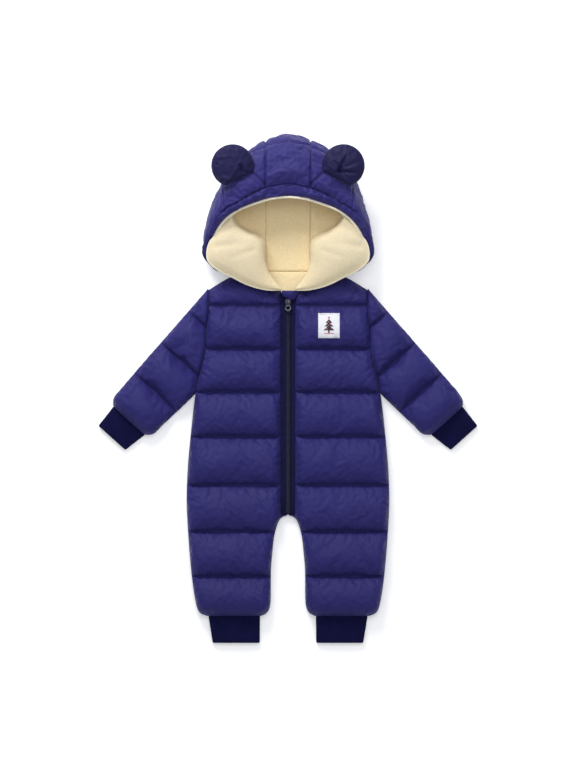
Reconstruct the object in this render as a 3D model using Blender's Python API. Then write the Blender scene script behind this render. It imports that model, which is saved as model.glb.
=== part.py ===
"""Baby snowsuit laid out on its back. Metres, +Z up, +Y towards the hood, origin under the middle.

Every cloth piece is its own closed solid, cut to the garment's real outline. The front panels lie on the
back panel, the sleeves, cuffs and ankle ribs are flattened tubes, and the hood is an open, lined shell.
"""

import math

import bmesh
import bpy
from mathutils import Vector
from mathutils.bvhtree import BVHTree

SEAM_GAP = 0.0003  # between two pieces that are sewn together
BACK_TOP = 0.009  # the back panel's thickness, and the height of the side seams
FRONT_BOTTOM = BACK_TOP + SEAM_GAP
LINE_LOFT = 0.0095  # a panel's thickness where it is quilted down
PUFF = 0.0155  # what a filled channel rises above its quilting lines
EDGE_LOFT = 0.003  # a front panel's thickness at its side seam
ZIP_EDGE_LOFT = 0.0075  # and beside the zip
ARM_EDGE_LOFT = 0.010  # and at the armhole

HEM_Y = -0.384
QUILT_LINES = (HEM_Y, -0.316, -0.240, -0.1615, -0.079, -0.0035, 0.070, 0.144)
CROTCH_Y = -0.2125
UNDERARM = (0.157, -0.007)
SHOULDER = (0.136, 0.169)
BACK_NECK_Y = 0.1995
ZIP_HALF = 0.0122  # half the width of the zip's two tapes together

HOOD_CENTRE_Y = 0.280
HOOD_STRIP = 0.038  # half the width of the hood's centre strip
HOOD_WALL = 0.006
BRIM_WALL = 0.004
LINING_WALL = 0.003
LINING_FLOOR = HOOD_WALL + SEAM_GAP + LINING_WALL

CUFF_WALL = 0.0038

for old in list(bpy.data.objects):
    bpy.data.objects.remove(old, do_unlink=True)


def material(name, colour, roughness, metallic=0.0):
    made = bpy.data.materials.new(name)
    made.use_nodes = True
    shader = made.node_tree.nodes["Principled BSDF"]
    shader.inputs["Base Color"].default_value = (*colour, 1.0)
    shader.inputs["Roughness"].default_value = roughness
    shader.inputs["Metallic"].default_value = metallic
    return made


SHELL = material("shell_cloth", (0.045, 0.040, 0.150), 0.6)
FLEECE = material("cream_fleece", (0.80, 0.72, 0.50), 0.95)
RIB = material("rib_knit", (0.012, 0.014, 0.070), 0.9)
TAPE = material("zip_tape", (0.012, 0.012, 0.045), 0.8)
CHAIN = material("zip_chain", (0.020, 0.020, 0.035), 0.4)
METAL = material("zip_metal", (0.09, 0.09, 0.11), 0.35, 1.0)
PATCH = material("patch_cloth", (0.86, 0.87, 0.90), 0.8)


def through(knots):
    """A smooth curve through (position, value) knots, straight on beyond its ends."""
    places = [k[0] for k in knots]
    values = [k[1] for k in knots]
    last = len(knots) - 1

    def slope(i):
        a, b = max(i - 1, 0), min(i + 1, last)
        return (values[b] - values[a]) / (places[b] - places[a])

    def value(at):
        i = 0
        while i < last - 1 and at > places[i + 1]:
            i += 1
        span = places[i + 1] - places[i]
        t = min(max((at - places[i]) / span, 0.0), 1.0)
        a, b = values[i], values[i + 1]
        ma, mb = slope(i) * span, slope(i + 1) * span
        square, cube = t * t, t * t * t
        return (
            (2 * cube - 3 * square + 1) * a
            + (cube - 2 * square + t) * ma
            + (3 * square - 2 * cube) * b
            + (cube - square) * mb
        )

    return value


def add(name, mesh_bm, finish):
    bmesh.ops.recalc_face_normals(mesh_bm, faces=mesh_bm.faces[:])
    mesh = bpy.data.meshes.new(name)
    mesh_bm.to_mesh(mesh)
    mesh_bm.free()
    mesh.materials.append(finish)
    mesh.shade_smooth()
    mesh.set_sharp_from_angle(angle=math.radians(40))
    made = bpy.data.objects.new(name, mesh)
    bpy.context.scene.collection.objects.link(made)
    return made


def wall(name, across, along, face, back, finish, closed=False):
    """A solid between two surfaces. face(i, j) and back(i, j) give its points on a grid of
    across x along, and a closed one runs round to its first column again."""
    bm = bmesh.new()
    bmesh.ops.create_grid(bm, x_segments=across, y_segments=along, size=1)
    behind = bm.verts.layers.float_vector.new("behind")
    for vert in bm.verts:
        i = round((vert.co.x + 1) / 2 * across)
        j = round((vert.co.y + 1) / 2 * along)
        if closed and i == across:
            i = 0
        vert.co = face(i, j)
        vert[behind] = back(i, j)
    if closed:
        bmesh.ops.remove_doubles(bm, verts=bm.verts[:], dist=0.00001)
    made = bmesh.ops.extrude_face_region(
        bm, geom=bm.faces[:], use_keep_orig=True
    )
    for item in made["geom"]:
        if isinstance(item, bmesh.types.BMVert):
            item.co = item[behind]
    bmesh.ops.dissolve_limit(
        bm, angle_limit=math.radians(0.05), verts=bm.verts[:], edges=bm.edges[:]
    )
    bmesh.ops.triangulate(bm, faces=bm.faces[:])
    return add(name, bm, finish)


# The garment's outline, for the wearer's left half, which is at +X.
side_edge = through(
    [
        (-0.384, 0.138),
        (-0.3805, 0.1475),
        (-0.374, 0.1530),
        (-0.360, 0.1570),
        (-0.333, 0.1615),
        (-0.292, 0.1660),
        (-0.250, 0.1692),
        (-0.190, 0.1722),
        (-0.130, 0.1702),
        (-0.075, 0.1652),
        (-0.020, 0.1592),
        UNDERARM[::-1],
        (0.018, 0.1520),
        (0.047, 0.1460),
        (0.070, 0.1410),
        (0.110, 0.1378),
        (0.148, 0.1350),
        SHOULDER[::-1],
    ]
)
inseam = through(
    [
        (-0.384, 0.0455),
        (-0.3805, 0.0380),
        (-0.374, 0.0325),
        (-0.360, 0.0295),
        (-0.306, 0.0288),
        (-0.272, 0.0260),
        (-0.250, 0.0235),
        (-0.235, 0.0200),
        (-0.224, 0.0160),
        (-0.2165, 0.0105),
        (CROTCH_Y, 0.0),
    ]
)
front_top = through(
    [
        (0.0125, 0.1665),
        (0.028, 0.1740),
        (0.046, 0.1860),
        (0.064, 0.1970),
        (0.076, 0.1990),
        (0.102, 0.1895),
        SHOULDER,
    ]
)


def round_up(distance, radius):
    """How far a padded edge has risen, from 0 at its seam to 1 at this distance in."""
    t = min(max(distance / radius, 0.0), 1.0)
    return math.sqrt(1 - (1 - t) ** 2)


def channel(fraction):
    """How full a quilted channel is between its two lines, from 0 to 1."""
    return math.sin(math.pi * min(max(fraction, 0.0), 1.0)) ** 0.6


# Front panels: quilted, from the shoulder to the ankle, with the zip between them.
ROUND_RADIUS = 0.022
NECK_RADIUS = 0.050
HEM_STEPS = (0.0, 0.05, 0.15, 0.5, 0.85)
CHANNEL_STEPS = (0.0, 0.15, 0.5, 0.85)
FRONT_ROWS = [(0, f) for f in HEM_STEPS]
for number in range(1, len(QUILT_LINES)):
    FRONT_ROWS += [(number, f) for f in CHANNEL_STEPS]
FRONT_ROWS.append((len(QUILT_LINES) - 1, 1.0))
FRONT_COLUMNS = (0.0, 0.02, 0.07, 0.2, 0.5, 0.8, 0.93, 0.98, 1.0)


def front_point(column, row):
    """x, y, how full the channel is, and the distances in from the panel's edges."""
    number, fraction = FRONT_ROWS[row]
    start = QUILT_LINES[number]
    share = FRONT_COLUMNS[column]
    if number < len(QUILT_LINES) - 1:
        y = start + fraction * (QUILT_LINES[number + 1] - start)
    else:
        y = start + fraction * (SHOULDER[1] - start)
    inner = max(inseam(min(y, CROTCH_Y)), ZIP_HALF + SEAM_GAP)
    outer = side_edge(min(y, SHOULDER[1]))
    x = inner + share * (outer - inner)
    from_top = 1.0
    if number == len(QUILT_LINES) - 1:
        y = start + fraction * (front_top(x) - start)
        from_top = front_top(x) - y
    full = channel(fraction)
    return x, y, full, x - inner, outer - x, from_top


def front_height(column, row):
    x, y, full, from_inner, from_outer, from_top = front_point(column, row)
    loft = LINE_LOFT + PUFF * full
    inner_loft = ZIP_EDGE_LOFT if y > CROTCH_Y else EDGE_LOFT
    outer_loft = EDGE_LOFT if y < UNDERARM[1] else ARM_EDGE_LOFT
    loft = inner_loft + (loft - inner_loft) * round_up(from_inner, ROUND_RADIUS)
    loft = outer_loft + (loft - outer_loft) * round_up(from_outer, ROUND_RADIUS)
    loft = EDGE_LOFT + (loft - EDGE_LOFT) * round_up(from_top, NECK_RADIUS)
    loft = EDGE_LOFT + (loft - EDGE_LOFT) * round_up(y - HEM_Y, ROUND_RADIUS)
    return Vector((x, y, FRONT_BOTTOM + loft))


def front_under(column, row):
    x, y, *_ = front_point(column, row)
    return Vector((x, y, FRONT_BOTTOM))


def sided(side, point):
    """The same points for the wearer's left (side 1) or, mirrored, the right (side -1)."""

    def placed(i, j):
        x, y, z = point(i, j)
        return Vector((side * x, y, z))

    return placed


HANDS = (("left", 1), ("right", -1))
for hand, side in HANDS:
    wall(
        "front_" + hand,
        len(FRONT_COLUMNS) - 1,
        len(FRONT_ROWS) - 1,
        sided(side, front_height),
        sided(side, front_under),
        SHELL,
    )


# Back panel: one piece from neck to ankles, flat where it lies, rounded up to its side seams.
BACK_ROUND = ((0.0, BACK_TOP), (0.0, 0.006), (0.0022, 0.0016), (0.0065, 0.0))
BACK_SIDE_YS = (-0.360, -0.333, -0.292, -0.250, -0.190, -0.130, -0.075, -0.020)
ARMHOLE_YS = (-0.007, 0.018, 0.047, 0.070, 0.110, 0.148)
BACK_INSEAM_YS = (-0.2165, -0.224, -0.235, -0.250, -0.272, -0.306, -0.360)
HEM_CORNER_YS = (-0.374, -0.3805, -0.384)
BACK_SHOULDER = ((0.102, 0.1895), (0.076, 0.1990), (0.052, 0.1995))


def back_outline():
    """Half of the panel's edge, from the crotch down the inseam, round the hem and up to the neck."""
    points = [(0.0, CROTCH_Y)]
    points += [(inseam(y), y) for y in BACK_INSEAM_YS + HEM_CORNER_YS]
    points += [(side_edge(y), y) for y in HEM_CORNER_YS[::-1] + BACK_SIDE_YS + ARMHOLE_YS]
    points += [SHOULDER, *BACK_SHOULDER, (0.0, BACK_NECK_Y)]
    return points


def inset(points, distance):
    """A closed loop of points moved inwards, to the left of the way they run."""
    moved = []
    for i, point in enumerate(points):
        before, after = Vector(points[i - 1]), Vector(points[(i + 1) % len(points)])
        way_in = (Vector(point) - before).normalized() + (after - Vector(point)).normalized()
        left = Vector((-way_in.y, way_in.x)).normalized()
        moved.append(Vector(point) + left * distance)
    return moved


right_way = back_outline()
loop = right_way + [(-x, y) for x, y in right_way[-2:0:-1]]
bm = bmesh.new()
rings = [
    [bm.verts.new((p.x, p.y, z)) for p in inset(loop, distance)] for distance, z in BACK_ROUND
]
for upper, lower in zip(rings, rings[1:]):
    for i in range(len(loop)):
        bm.faces.new((upper[i - 1], upper[i], lower[i], lower[i - 1]))
bm.faces.new(rings[0])
bm.faces.new(rings[-1][::-1])
bmesh.ops.triangulate(bm, faces=bm.faces[:])
add("back", bm, SHELL)


# Sleeves: one-piece padded tubes laid flat, quilted across, cut slanting to the armholes.
SLEEVE_ALONG = Vector((0.669, -0.743, 0.0))
SLEEVE_ACROSS = Vector((0.743, 0.669, 0.0))
SLEEVE_LINES = (-0.0550, 0.0145, 0.0845, 0.1535, 0.2205)
SLEEVE_STEPS = (0.0, 0.15, 0.5, 0.85)
SLEEVE_ROUND = 16
SLIT = 0.0030  # between the two layers of a flattened tube
SLIT_MARGIN = 0.012  # from the slit's ends to the tube's folded edges
SLEEVE_END_LOFT = 0.006
OVAL_POWER = 0.6  # under 1 makes the flattened tubes' section squarer than an ellipse
sleeve_upper = through([(-0.0365, 0.2165), (0.190, 0.2125), (0.209, 0.2105), (0.2205, 0.2020)])
sleeve_lower = through(
    [(-0.055, 0.1060), (0.110, 0.1120), (0.190, 0.1180), (0.209, 0.1200), (0.2205, 0.1290)]
)
SLEEVE_ROWS = [(n, f) for n in range(len(SLEEVE_LINES) - 1) for f in SLEEVE_STEPS]
SLEEVE_ROWS += [(len(SLEEVE_LINES) - 2, 0.95), (len(SLEEVE_LINES) - 2, 1.0)]


def oval(angle, half, low, high, middle):
    """A point round a flattened tube: how far across, and how high."""
    across = math.copysign(abs(math.cos(angle)) ** OVAL_POWER, math.cos(angle)) * half
    rise = abs(math.sin(angle)) ** OVAL_POWER
    reach = high - middle if math.sin(angle) > 0 else low - middle
    return across, middle + rise * reach


def sleeve_point(inside):
    def point(i, j):
        number, fraction = SLEEVE_ROWS[j]
        start = SLEEVE_LINES[number]
        along = start + fraction * (SLEEVE_LINES[number + 1] - start)
        upper, lower = sleeve_upper(along), sleeve_lower(along)
        half = (upper - lower) / 2
        loft = LINE_LOFT + PUFF * channel(fraction)
        if along > SLEEVE_LINES[-1] - ROUND_RADIUS:
            end = round_up(SLEEVE_LINES[-1] - along, ROUND_RADIUS)
            loft = SLEEVE_END_LOFT + (loft - SLEEVE_END_LOFT) * end
        angle = 2 * math.pi * i / SLEEVE_ROUND
        if inside:
            low, high = BACK_TOP - SLIT / 2, BACK_TOP + SLIT / 2
            across, z = oval(angle, half - SLIT_MARGIN, low, high, BACK_TOP)
        else:
            across, z = oval(angle, half, 0.0, FRONT_BOTTOM + loft, BACK_TOP)
        place = SLEEVE_ALONG * along + SLEEVE_ACROSS * ((upper + lower) / 2 + across)
        return Vector((place.x, place.y, z))

    return point


CUT_YS = (-0.060, -0.020, *ARMHOLE_YS, SHOULDER[1], 0.260)
CUTTER_LOW, CUTTER_HIGH = -0.05, 0.10
for hand, side in HANDS:
    sleeve = wall(
        "sleeve_" + hand,
        SLEEVE_ROUND,
        len(SLEEVE_ROWS) - 1,
        sided(side, sleeve_point(False)),
        sided(side, sleeve_point(True)),
        SHELL,
        closed=True,
    )
    bm = bmesh.new()
    edge = [Vector((side * (side_edge(y) + SEAM_GAP), y, CUTTER_LOW)) for y in CUT_YS]
    body = [Vector((0.0, y, CUTTER_LOW)) for y in (CUT_YS[-1], CUT_YS[0])]
    floor = bm.faces.new([bm.verts.new(p) for p in edge + body])
    raised = bmesh.ops.extrude_face_region(bm, geom=[floor])
    top = [v for v in raised["geom"] if isinstance(v, bmesh.types.BMVert)]
    bmesh.ops.translate(bm, verts=top, vec=(0, 0, CUTTER_HIGH - CUTTER_LOW))
    cutter = add("armhole_cut_" + hand, bm, SHELL)
    cutter.hide_render = True
    cutter.display_type = "WIRE"
    cut = sleeve.modifiers.new("armhole", "BOOLEAN")
    cut.operation = "DIFFERENCE"
    cut.solver = "EXACT"
    cut.object = cutter


# Cuffs and ankle ribs: flattened tubes of double rib knit, sewn on where the padding ends.
RIB_ROUND = 16
RIB_STEPS = 3
# A rib's half width and height where it is sewn on and at its open end.
CUFF_SIZE = ((0.0365, 0.0125), (0.0312, 0.0105))
ANKLE_SIZE = ((0.0445, 0.0125), (0.0405, 0.0115))
# Each end's middle: along and across the sleeve for a cuff, x and y for an ankle.
CUFF_ENDS = ((SLEEVE_LINES[-1] + SEAM_GAP, 0.1655), (0.2610, 0.1678))
ANKLE_ENDS = ((0.0915, HEM_Y - SEAM_GAP), (0.0880, -0.430))


def rib_tube(name, start, end, across_way, size):
    """A flattened tube from one middle to another, its ends along across_way."""
    (start_half, start_high), (end_half, end_high) = size

    def point(inside):
        def place(i, j):
            share = j / RIB_STEPS
            half = start_half + (end_half - start_half) * share
            top = start_high + (end_high - start_high) * share
            angle = 2 * math.pi * i / RIB_ROUND
            trim = CUFF_WALL if inside else 0.0
            across, z = oval(angle, half - trim, trim, top - trim, top / 2)
            middle = start + (end - start) * share
            return middle + across_way * across + Vector((0, 0, z))

        return place

    wall(name, RIB_ROUND, RIB_STEPS, point(False), point(True), RIB, closed=True)


def on_sleeve(side, along, across):
    place = SLEEVE_ALONG * along + SLEEVE_ACROSS * across
    return Vector((side * place.x, place.y, 0.0))


for hand, side in HANDS:
    cuff_from, cuff_to = [on_sleeve(side, along, across) for along, across in CUFF_ENDS]
    cuff_way = Vector((side * SLEEVE_ACROSS.x, SLEEVE_ACROSS.y, 0.0))
    rib_tube("cuff_" + hand, cuff_from, cuff_to, cuff_way, CUFF_SIZE)
    ankle_from, ankle_to = [Vector((side * x, y, 0.0)) for x, y in ANKLE_ENDS]
    rib_tube("ankle_" + hand, ankle_from, ankle_to, Vector((1, 0, 0)), ANKLE_SIZE)


# Hood: three padded panels and a brim round a lined hollow, worked out as rings round its middle.
# Each ring is (angle from straight up, radius, height) and ends at the neckline.
def ring(*knots):
    every = [(-a, r, z) for a, r, z in knots[1:2]] + list(knots)
    radius = through([(a, r) for a, r, z in every])
    height = through([(a, z) for a, r, z in every])
    return radius, height, knots[-1][0]


ANGLES = (0, 30, 60, 90, 112, 135)


def ring_of(radii, heights, end):
    return ring(*zip(ANGLES, radii, heights), end)


SHELL_RINGS = (
    ring_of((67, 71, 87, 127, 147.5, 127), (88, 88, 84, 72.4, 38, 30), (172, 107, 22)),
    ring_of((92, 92, 100, 134, 149.5, 122), (93, 93, 88, 65, 34, 28), (163, 105, 21)),
    ring_of((122, 118, 116, 137.5, 149.5, 118), (85, 85, 80, 58, 31, 26), (151, 103, 20)),
    ring_of((143, 136, 127.5, 140.5, 149, 115), (62, 62, 60, 46, 27, 22), (140, 104, 18)),
    ring_of((150, 142.5, 133, 141, 147, 112), (36, 36, 36, 32, 20, 14), (138, 101, 12)),
    ring_of((147, 139.5, 130, 137, 142, 107), (10, 10, 10, 10, 8, 5), (141, 97, 5)),
    ring_of((134, 127, 117, 124, 128, 100), (0, 0, 0, 0, 0, 0), (146, 94, 0)),
)
BRIM_RINGS = (
    ring_of((47.5, 52, 69.5, 114, 143.5, 128), (82, 82, 78, 67, 43, 38), (173.5, 110, 28)),
    ring_of((57, 61, 78, 120.3, 146, 128.5), (87, 87, 83, 72, 42, 35), (172.7, 108.7, 25.5)),
    ring_of(
        (66.6, 70.6, 86.6, 126.3, 146.8, 127.4), (88, 88, 84, 72.8, 39.5, 31.6), (172, 107.3, 23)
    ),
)
LINING_RINGS = (
    ring_of((45.5, 50, 67.5, 112, 149.5, 130), (73, 73, 69, 60.5, 61.5, 50), (174, 111.5, 36)),
    ring_of((62, 66, 82, 104, 130, 112), (72, 72, 68, 64, 66, 58), (173.5, 110, 40)),
    ring_of((105, 102, 98, 93, 100, 88), (75, 75, 70, 63, 66, 60), (173, 108, 40)),
    ring_of((131, 123, 112, 85, 64, 62), (56, 56, 55, 54, 58, 53), (172, 105, 38)),
    ring_of((133, 125, 114, 80, 55, 55), (30, 30, 30, 36, 42, 38), (166, 100, 30)),
    ring_of((122, 115, 104, 72, 50, 53), (12, 12, 12, 14, 18, 18), (160, 95, 18)),
)
MM = 0.001
FLOOR_STEP = 0.012  # from the last ring to where a panel's floor begins


def on_ring(which, degrees):
    radius, height, _ = which
    turn = math.radians(degrees)
    r = radius(abs(degrees)) * MM
    z = height(abs(degrees)) * MM
    return Vector((r * math.sin(turn), HOOD_CENTRE_Y + r * math.cos(turn), z))


def brim_seam_normal(degrees):
    """Square to the hood's surface where the brim is sewn to its panels, and the same for both."""
    inward = on_ring(BRIM_RINGS[1], degrees)
    outward = on_ring(SHELL_RINGS[1], degrees)
    along = on_ring(BRIM_RINGS[2], degrees + 2) - on_ring(BRIM_RINGS[2], degrees - 2)
    return (outward - inward).cross(along).normalized()


def angle_at(which, x):
    """The angle at which a ring passes this far from the hood's middle line, near its top."""
    degrees = 0.0
    for _ in range(12):
        degrees = math.degrees(math.asin(x / (which[0](degrees) * MM)))
    return degrees


def panel_grid(rings, strip, floor_y, floor_z, steps):
    """A side panel's points: along each ring from the centre strip's seam to the neckline, then
    along the strip's seam on the hood's floor."""
    grid = []
    for which in rings:
        start, end = angle_at(which, strip), which[2]
        grid.append([on_ring(which, start + (end - start) * j / steps) for j in range(steps + 1)])
    first = grid[-1][0].y - FLOOR_STEP
    grid.append(
        [Vector((strip, first + (floor_y - first) * j / steps, floor_z)) for j in range(steps + 1)]
    )
    return grid


def strip_grid(rings, strip, floor_y, floor_z, steps, floor_steps):
    """The centre strip's points, over the crown and down the back to the neck."""
    grid = []
    for which in rings:
        edge = angle_at(which, strip)
        grid.append([on_ring(which, edge * (2 * j / steps - 1)) for j in range(steps + 1)])
        for j, point in enumerate(grid[-1]):
            point.x = strip * (2 * j / steps - 1)
    first = grid[-1][0].y - FLOOR_STEP
    for k in range(floor_steps + 1):
        y = first + (floor_y - first) * k / floor_steps
        grid.append([Vector((strip * (2 * j / steps - 1), y, floor_z)) for j in range(steps + 1)])
    return grid


def offset_grid(grid, distance, seams=(), brim_row=None):
    """The grid moved along its normals. On a seam column or row the move keeps to the seam's plane,
    and along the brim's seam it is square to the hood."""
    rows, columns = len(grid), len(grid[0])
    moved = []
    for k in range(rows):
        line = []
        for j in range(columns):
            down = grid[min(k + 1, rows - 1)][j] - grid[max(k - 1, 0)][j]
            over = grid[k][min(j + 1, columns - 1)] - grid[k][max(j - 1, 0)]
            normal = down.cross(over).normalized()
            if ("first" in seams and j == 0) or ("last" in seams and j == columns - 1):
                normal = Vector((0, normal.y, normal.z)).normalized()
            if "floor" in seams and k == rows - 1:
                normal = Vector((0, 0, math.copysign(1, normal.z)))
            if k == brim_row:
                turn = math.atan2(grid[k][j].x, grid[k][j].y - HOOD_CENTRE_Y)
                seam_normal = brim_seam_normal(math.degrees(turn))
                normal = seam_normal * math.copysign(1, seam_normal.dot(normal))
                if "first" in seams and j == 0:
                    normal = Vector((0, normal.y, normal.z)).normalized()
            line.append(grid[k][j] + normal * distance)
        moved.append(line)
    return moved


def hood_piece(name, side, grid, distance, finish, seams, brim_row=None):
    behind = offset_grid(grid, distance, seams, brim_row)
    wall(
        name,
        len(grid[0]) - 1,
        len(grid) - 1,
        sided(side, lambda i, j: grid[j][i]),
        sided(side, lambda i, j: behind[j][i]),
        finish,
    )


PANEL_STEPS = 13
STRIP_STEPS = 2
HOOD_NECK_Y = BACK_NECK_Y + 0.001
seam_x = HOOD_STRIP + SEAM_GAP / 2
for hand, side in HANDS:
    panel = panel_grid(SHELL_RINGS, seam_x, HOOD_NECK_Y, 0.0, PANEL_STEPS)
    hood_piece("hood_" + hand, side, panel, HOOD_WALL, SHELL, ("first", "floor"), 0)
    lining = panel_grid(LINING_RINGS, seam_x, HOOD_NECK_Y, LINING_FLOOR, PANEL_STEPS)
    hood_piece("hood_lining_" + hand, side, lining, -LINING_WALL, FLEECE, ("first", "floor"))
strip_x = HOOD_STRIP - SEAM_GAP / 2
strip = strip_grid(SHELL_RINGS, strip_x, HOOD_NECK_Y, 0.0, STRIP_STEPS, STRIP_STEPS)
hood_piece("hood_center", 1, strip, HOOD_WALL, SHELL, ("first", "last"), 0)
strip = strip_grid(LINING_RINGS, strip_x, HOOD_NECK_Y, LINING_FLOOR, STRIP_STEPS, STRIP_STEPS)
hood_piece("hood_lining_center", 1, strip, -LINING_WALL, FLEECE, ("first", "last"))
start, end = angle_at(SHELL_RINGS[0], seam_x), SHELL_RINGS[0][2]
half_angles = [start + (end - start) * j / PANEL_STEPS for j in range(PANEL_STEPS + 1)]
brim_angles = [-a for a in half_angles[::-1]] + [0.0] + half_angles
brim = [[on_ring(which, angle) for angle in brim_angles] for which in BRIM_RINGS]
hood_piece("brim", 1, brim, BRIM_WALL, SHELL, (), 2)


# Ears: two stuffed rounds, each cut straight across where it is sewn to the hood.
EAR_RADIUS = 0.0362
EAR_CHORD = 0.0245  # from the ear's middle to the seam
EAR_THICK = 0.024
EAR_CENTRE = Vector((0.0935, 0.379, 0.0935))
EAR_TILT = 0.1  # it lifts this much for each metre out from the hood
EAR_SEAM_WAY = Vector((-0.883, 0.469, 0.0))
EAR_OUT = Vector((0.469, 0.883, 0.0))
EAR_ROUND = 16
EAR_RINGS = (1.0, 0.93, 0.72, 0.38)
EAR_PRESS = 0.6  # how much thinner the underside is at the seam
EAR_CROWN = 2.6  # over 2 makes the stuffed section fuller than an ellipse


def ear_rim(i):
    """A point of the ear's outline, along its seam and out from it, in metres from its middle."""
    angle = 2 * math.pi * (i + 0.5) / EAR_ROUND
    return EAR_RADIUS * math.sin(angle), max(EAR_RADIUS * math.cos(angle), -EAR_CHORD)


for hand, side in HANDS:
    bm = bmesh.new()
    rings = []
    for share, way in [(e, 1) for e in EAR_RINGS[::-1]] + [(e, -1) for e in EAR_RINGS[1:]]:
        rise = way * EAR_THICK / 2 * math.sqrt(1 - share**EAR_CROWN)
        line = []
        for i in range(EAR_ROUND):
            along, out = ear_rim(i)
            pressed = 1 - EAR_PRESS * max(0.0, -out * share / EAR_CHORD) if way < 0 else 1.0
            place = EAR_CENTRE + (EAR_SEAM_WAY * along + EAR_OUT * out) * share
            z = place.z + rise * pressed + EAR_TILT * out * share
            line.append(bm.verts.new((side * place.x, place.y, z)))
        rings.append(line)
    for upper, lower in zip(rings, rings[1:]):
        for i in range(EAR_ROUND):
            bm.faces.new((upper[i - 1], upper[i], lower[i], lower[i - 1]))
    bm.faces.new(rings[0])
    bm.faces.new(rings[-1])
    bmesh.ops.triangulate(bm, faces=bm.faces[:])
    add("ear_" + hand, bm, SHELL)


# Zip: two woven tapes, the closed chain on them, a slider at the top and its swinging pull tab.
TAPE_THICK = 0.0010
TAPE_Z = 0.0145
CHAIN_HALF = 0.0035
CHAIN_THICK = 0.0024
ZIP_TOP_Y = 0.166
# How far the zip drops towards the crotch, as (y, drop).
ZIP_FALL = ((ZIP_TOP_Y, 0.0), (-0.120, 0.0), (-0.180, 0.0010), (-0.200, 0.0028), (-0.2115, 0.0052))


def zip_layer(inner, outer, bottom, thick):
    """The two surfaces of a strip along the zip, which drops to the crotch at its lower end."""

    def point(rise):
        def place(i, j):
            y, fall = ZIP_FALL[j]
            return Vector((inner + (outer - inner) * i, y, bottom + rise - fall))

        return place

    return point(thick), point(0.0)


for hand, side in HANDS:
    over, under = zip_layer(side * SEAM_GAP / 2, side * ZIP_HALF, TAPE_Z, TAPE_THICK)
    wall("zip_tape_" + hand, 1, len(ZIP_FALL) - 1, over, under, TAPE)
chain_z = TAPE_Z + TAPE_THICK + SEAM_GAP
over, under = zip_layer(-CHAIN_HALF, CHAIN_HALF, chain_z, CHAIN_THICK)
wall("zip_chain", 1, len(ZIP_FALL) - 1, over, under, CHAIN)

SLIDER_Z = chain_z + CHAIN_THICK + SEAM_GAP
PLATE_THICK = 0.0018
PULL_Y = 0.1485  # the pull tab's axis, across the zip under the slider's bridge
BRIDGE_HALF = 0.0015
BRIDGE = ((-0.0030, 0.0052), (-0.0018, 0.0038))  # where it starts and its height, outside then inside
BRIDGE_CORNER = 0.0012
BRIDGE_SINK = 0.0004  # into the plate, so that the two make one body
PULL_Z = SLIDER_Z + PLATE_THICK + 0.0018


bm = bmesh.new()
plate_top = SLIDER_Z + PLATE_THICK
(outer_y, outer_z), (inner_y, inner_z) = BRIDGE
rising = [
    (outer_y, -BRIDGE_SINK),
    (outer_y, outer_z - BRIDGE_CORNER),
    (outer_y + BRIDGE_CORNER, outer_z),
]
under = [(-inner_y, -BRIDGE_SINK), (-inner_y, inner_z), (inner_y, inner_z), (inner_y, -BRIDGE_SINK)]
side_view = rising + [(-y, z) for y, z in rising[::-1]] + under
arch_points = [(-BRIDGE_HALF, PULL_Y + y, plate_top + z) for y, z in side_view]
bridge = bm.faces.new([bm.verts.new(p) for p in arch_points])
raised = bmesh.ops.extrude_face_region(bm, geom=[bridge])
far = [v for v in raised["geom"] if isinstance(v, bmesh.types.BMVert)]
bmesh.ops.translate(bm, verts=far, vec=(2 * BRIDGE_HALF, 0, 0))
arch = add("slider_bridge", bm, METAL)
arch.hide_render = True
arch.display_type = "WIRE"
bm = bmesh.new()
right_edge = [(0.0032, -0.0055), (0.0048, 0.0015), (0.0044, 0.0050), (0.0020, 0.0055)]
body_outline = right_edge + [(-x, y) for x, y in right_edge[::-1]]
floor = bm.faces.new([bm.verts.new((x, PULL_Y + y, SLIDER_Z)) for x, y in body_outline])
raised = bmesh.ops.extrude_face_region(bm, geom=[floor])
far = [v for v in raised["geom"] if isinstance(v, bmesh.types.BMVert)]
bmesh.ops.translate(bm, verts=far, vec=(0, 0, PLATE_THICK))
slider = add("zip_slider", bm, METAL)
join = slider.modifiers.new("bridge", "BOOLEAN")
join.operation = "UNION"
join.solver = "EXACT"
join.object = arch

# The pull tab: a bar under the bridge, two arms past it and a ring to hold.
PULL_THICK = 0.0014
ARM_INNER, ARM_OUTER = 0.0021, 0.0036
SLOT_LENGTH = 0.0052
RING_RADIUS, RING_HOLE = 0.0056, 0.0028
RING_OVERLAP = 0.0012  # of the ring and its two arms
RING_Y = -SLOT_LENGTH - RING_RADIUS + RING_OVERLAP
RING_ROUND = 20


def pull_solid(name, outline, low=-PULL_THICK / 2, high=PULL_THICK / 2):
    bm = bmesh.new()
    face = bm.faces.new([bm.verts.new((x, y, low)) for x, y in outline])
    raised = bmesh.ops.extrude_face_region(bm, geom=[face])
    far = [v for v in raised["geom"] if isinstance(v, bmesh.types.BMVert)]
    bmesh.ops.translate(bm, verts=far, vec=(0, 0, high - low))
    made = add(name, bm, METAL)
    made.location = (0, PULL_Y, PULL_Z)
    return made


def circle(radius, y, count):
    turns = [2 * math.pi * i / count for i in range(count)]
    return [(radius * math.cos(t), y + radius * math.sin(t)) for t in turns]


def oblong(half, low, high):
    return [(-half, low), (half, low), (half, high), (-half, high)]


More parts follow.
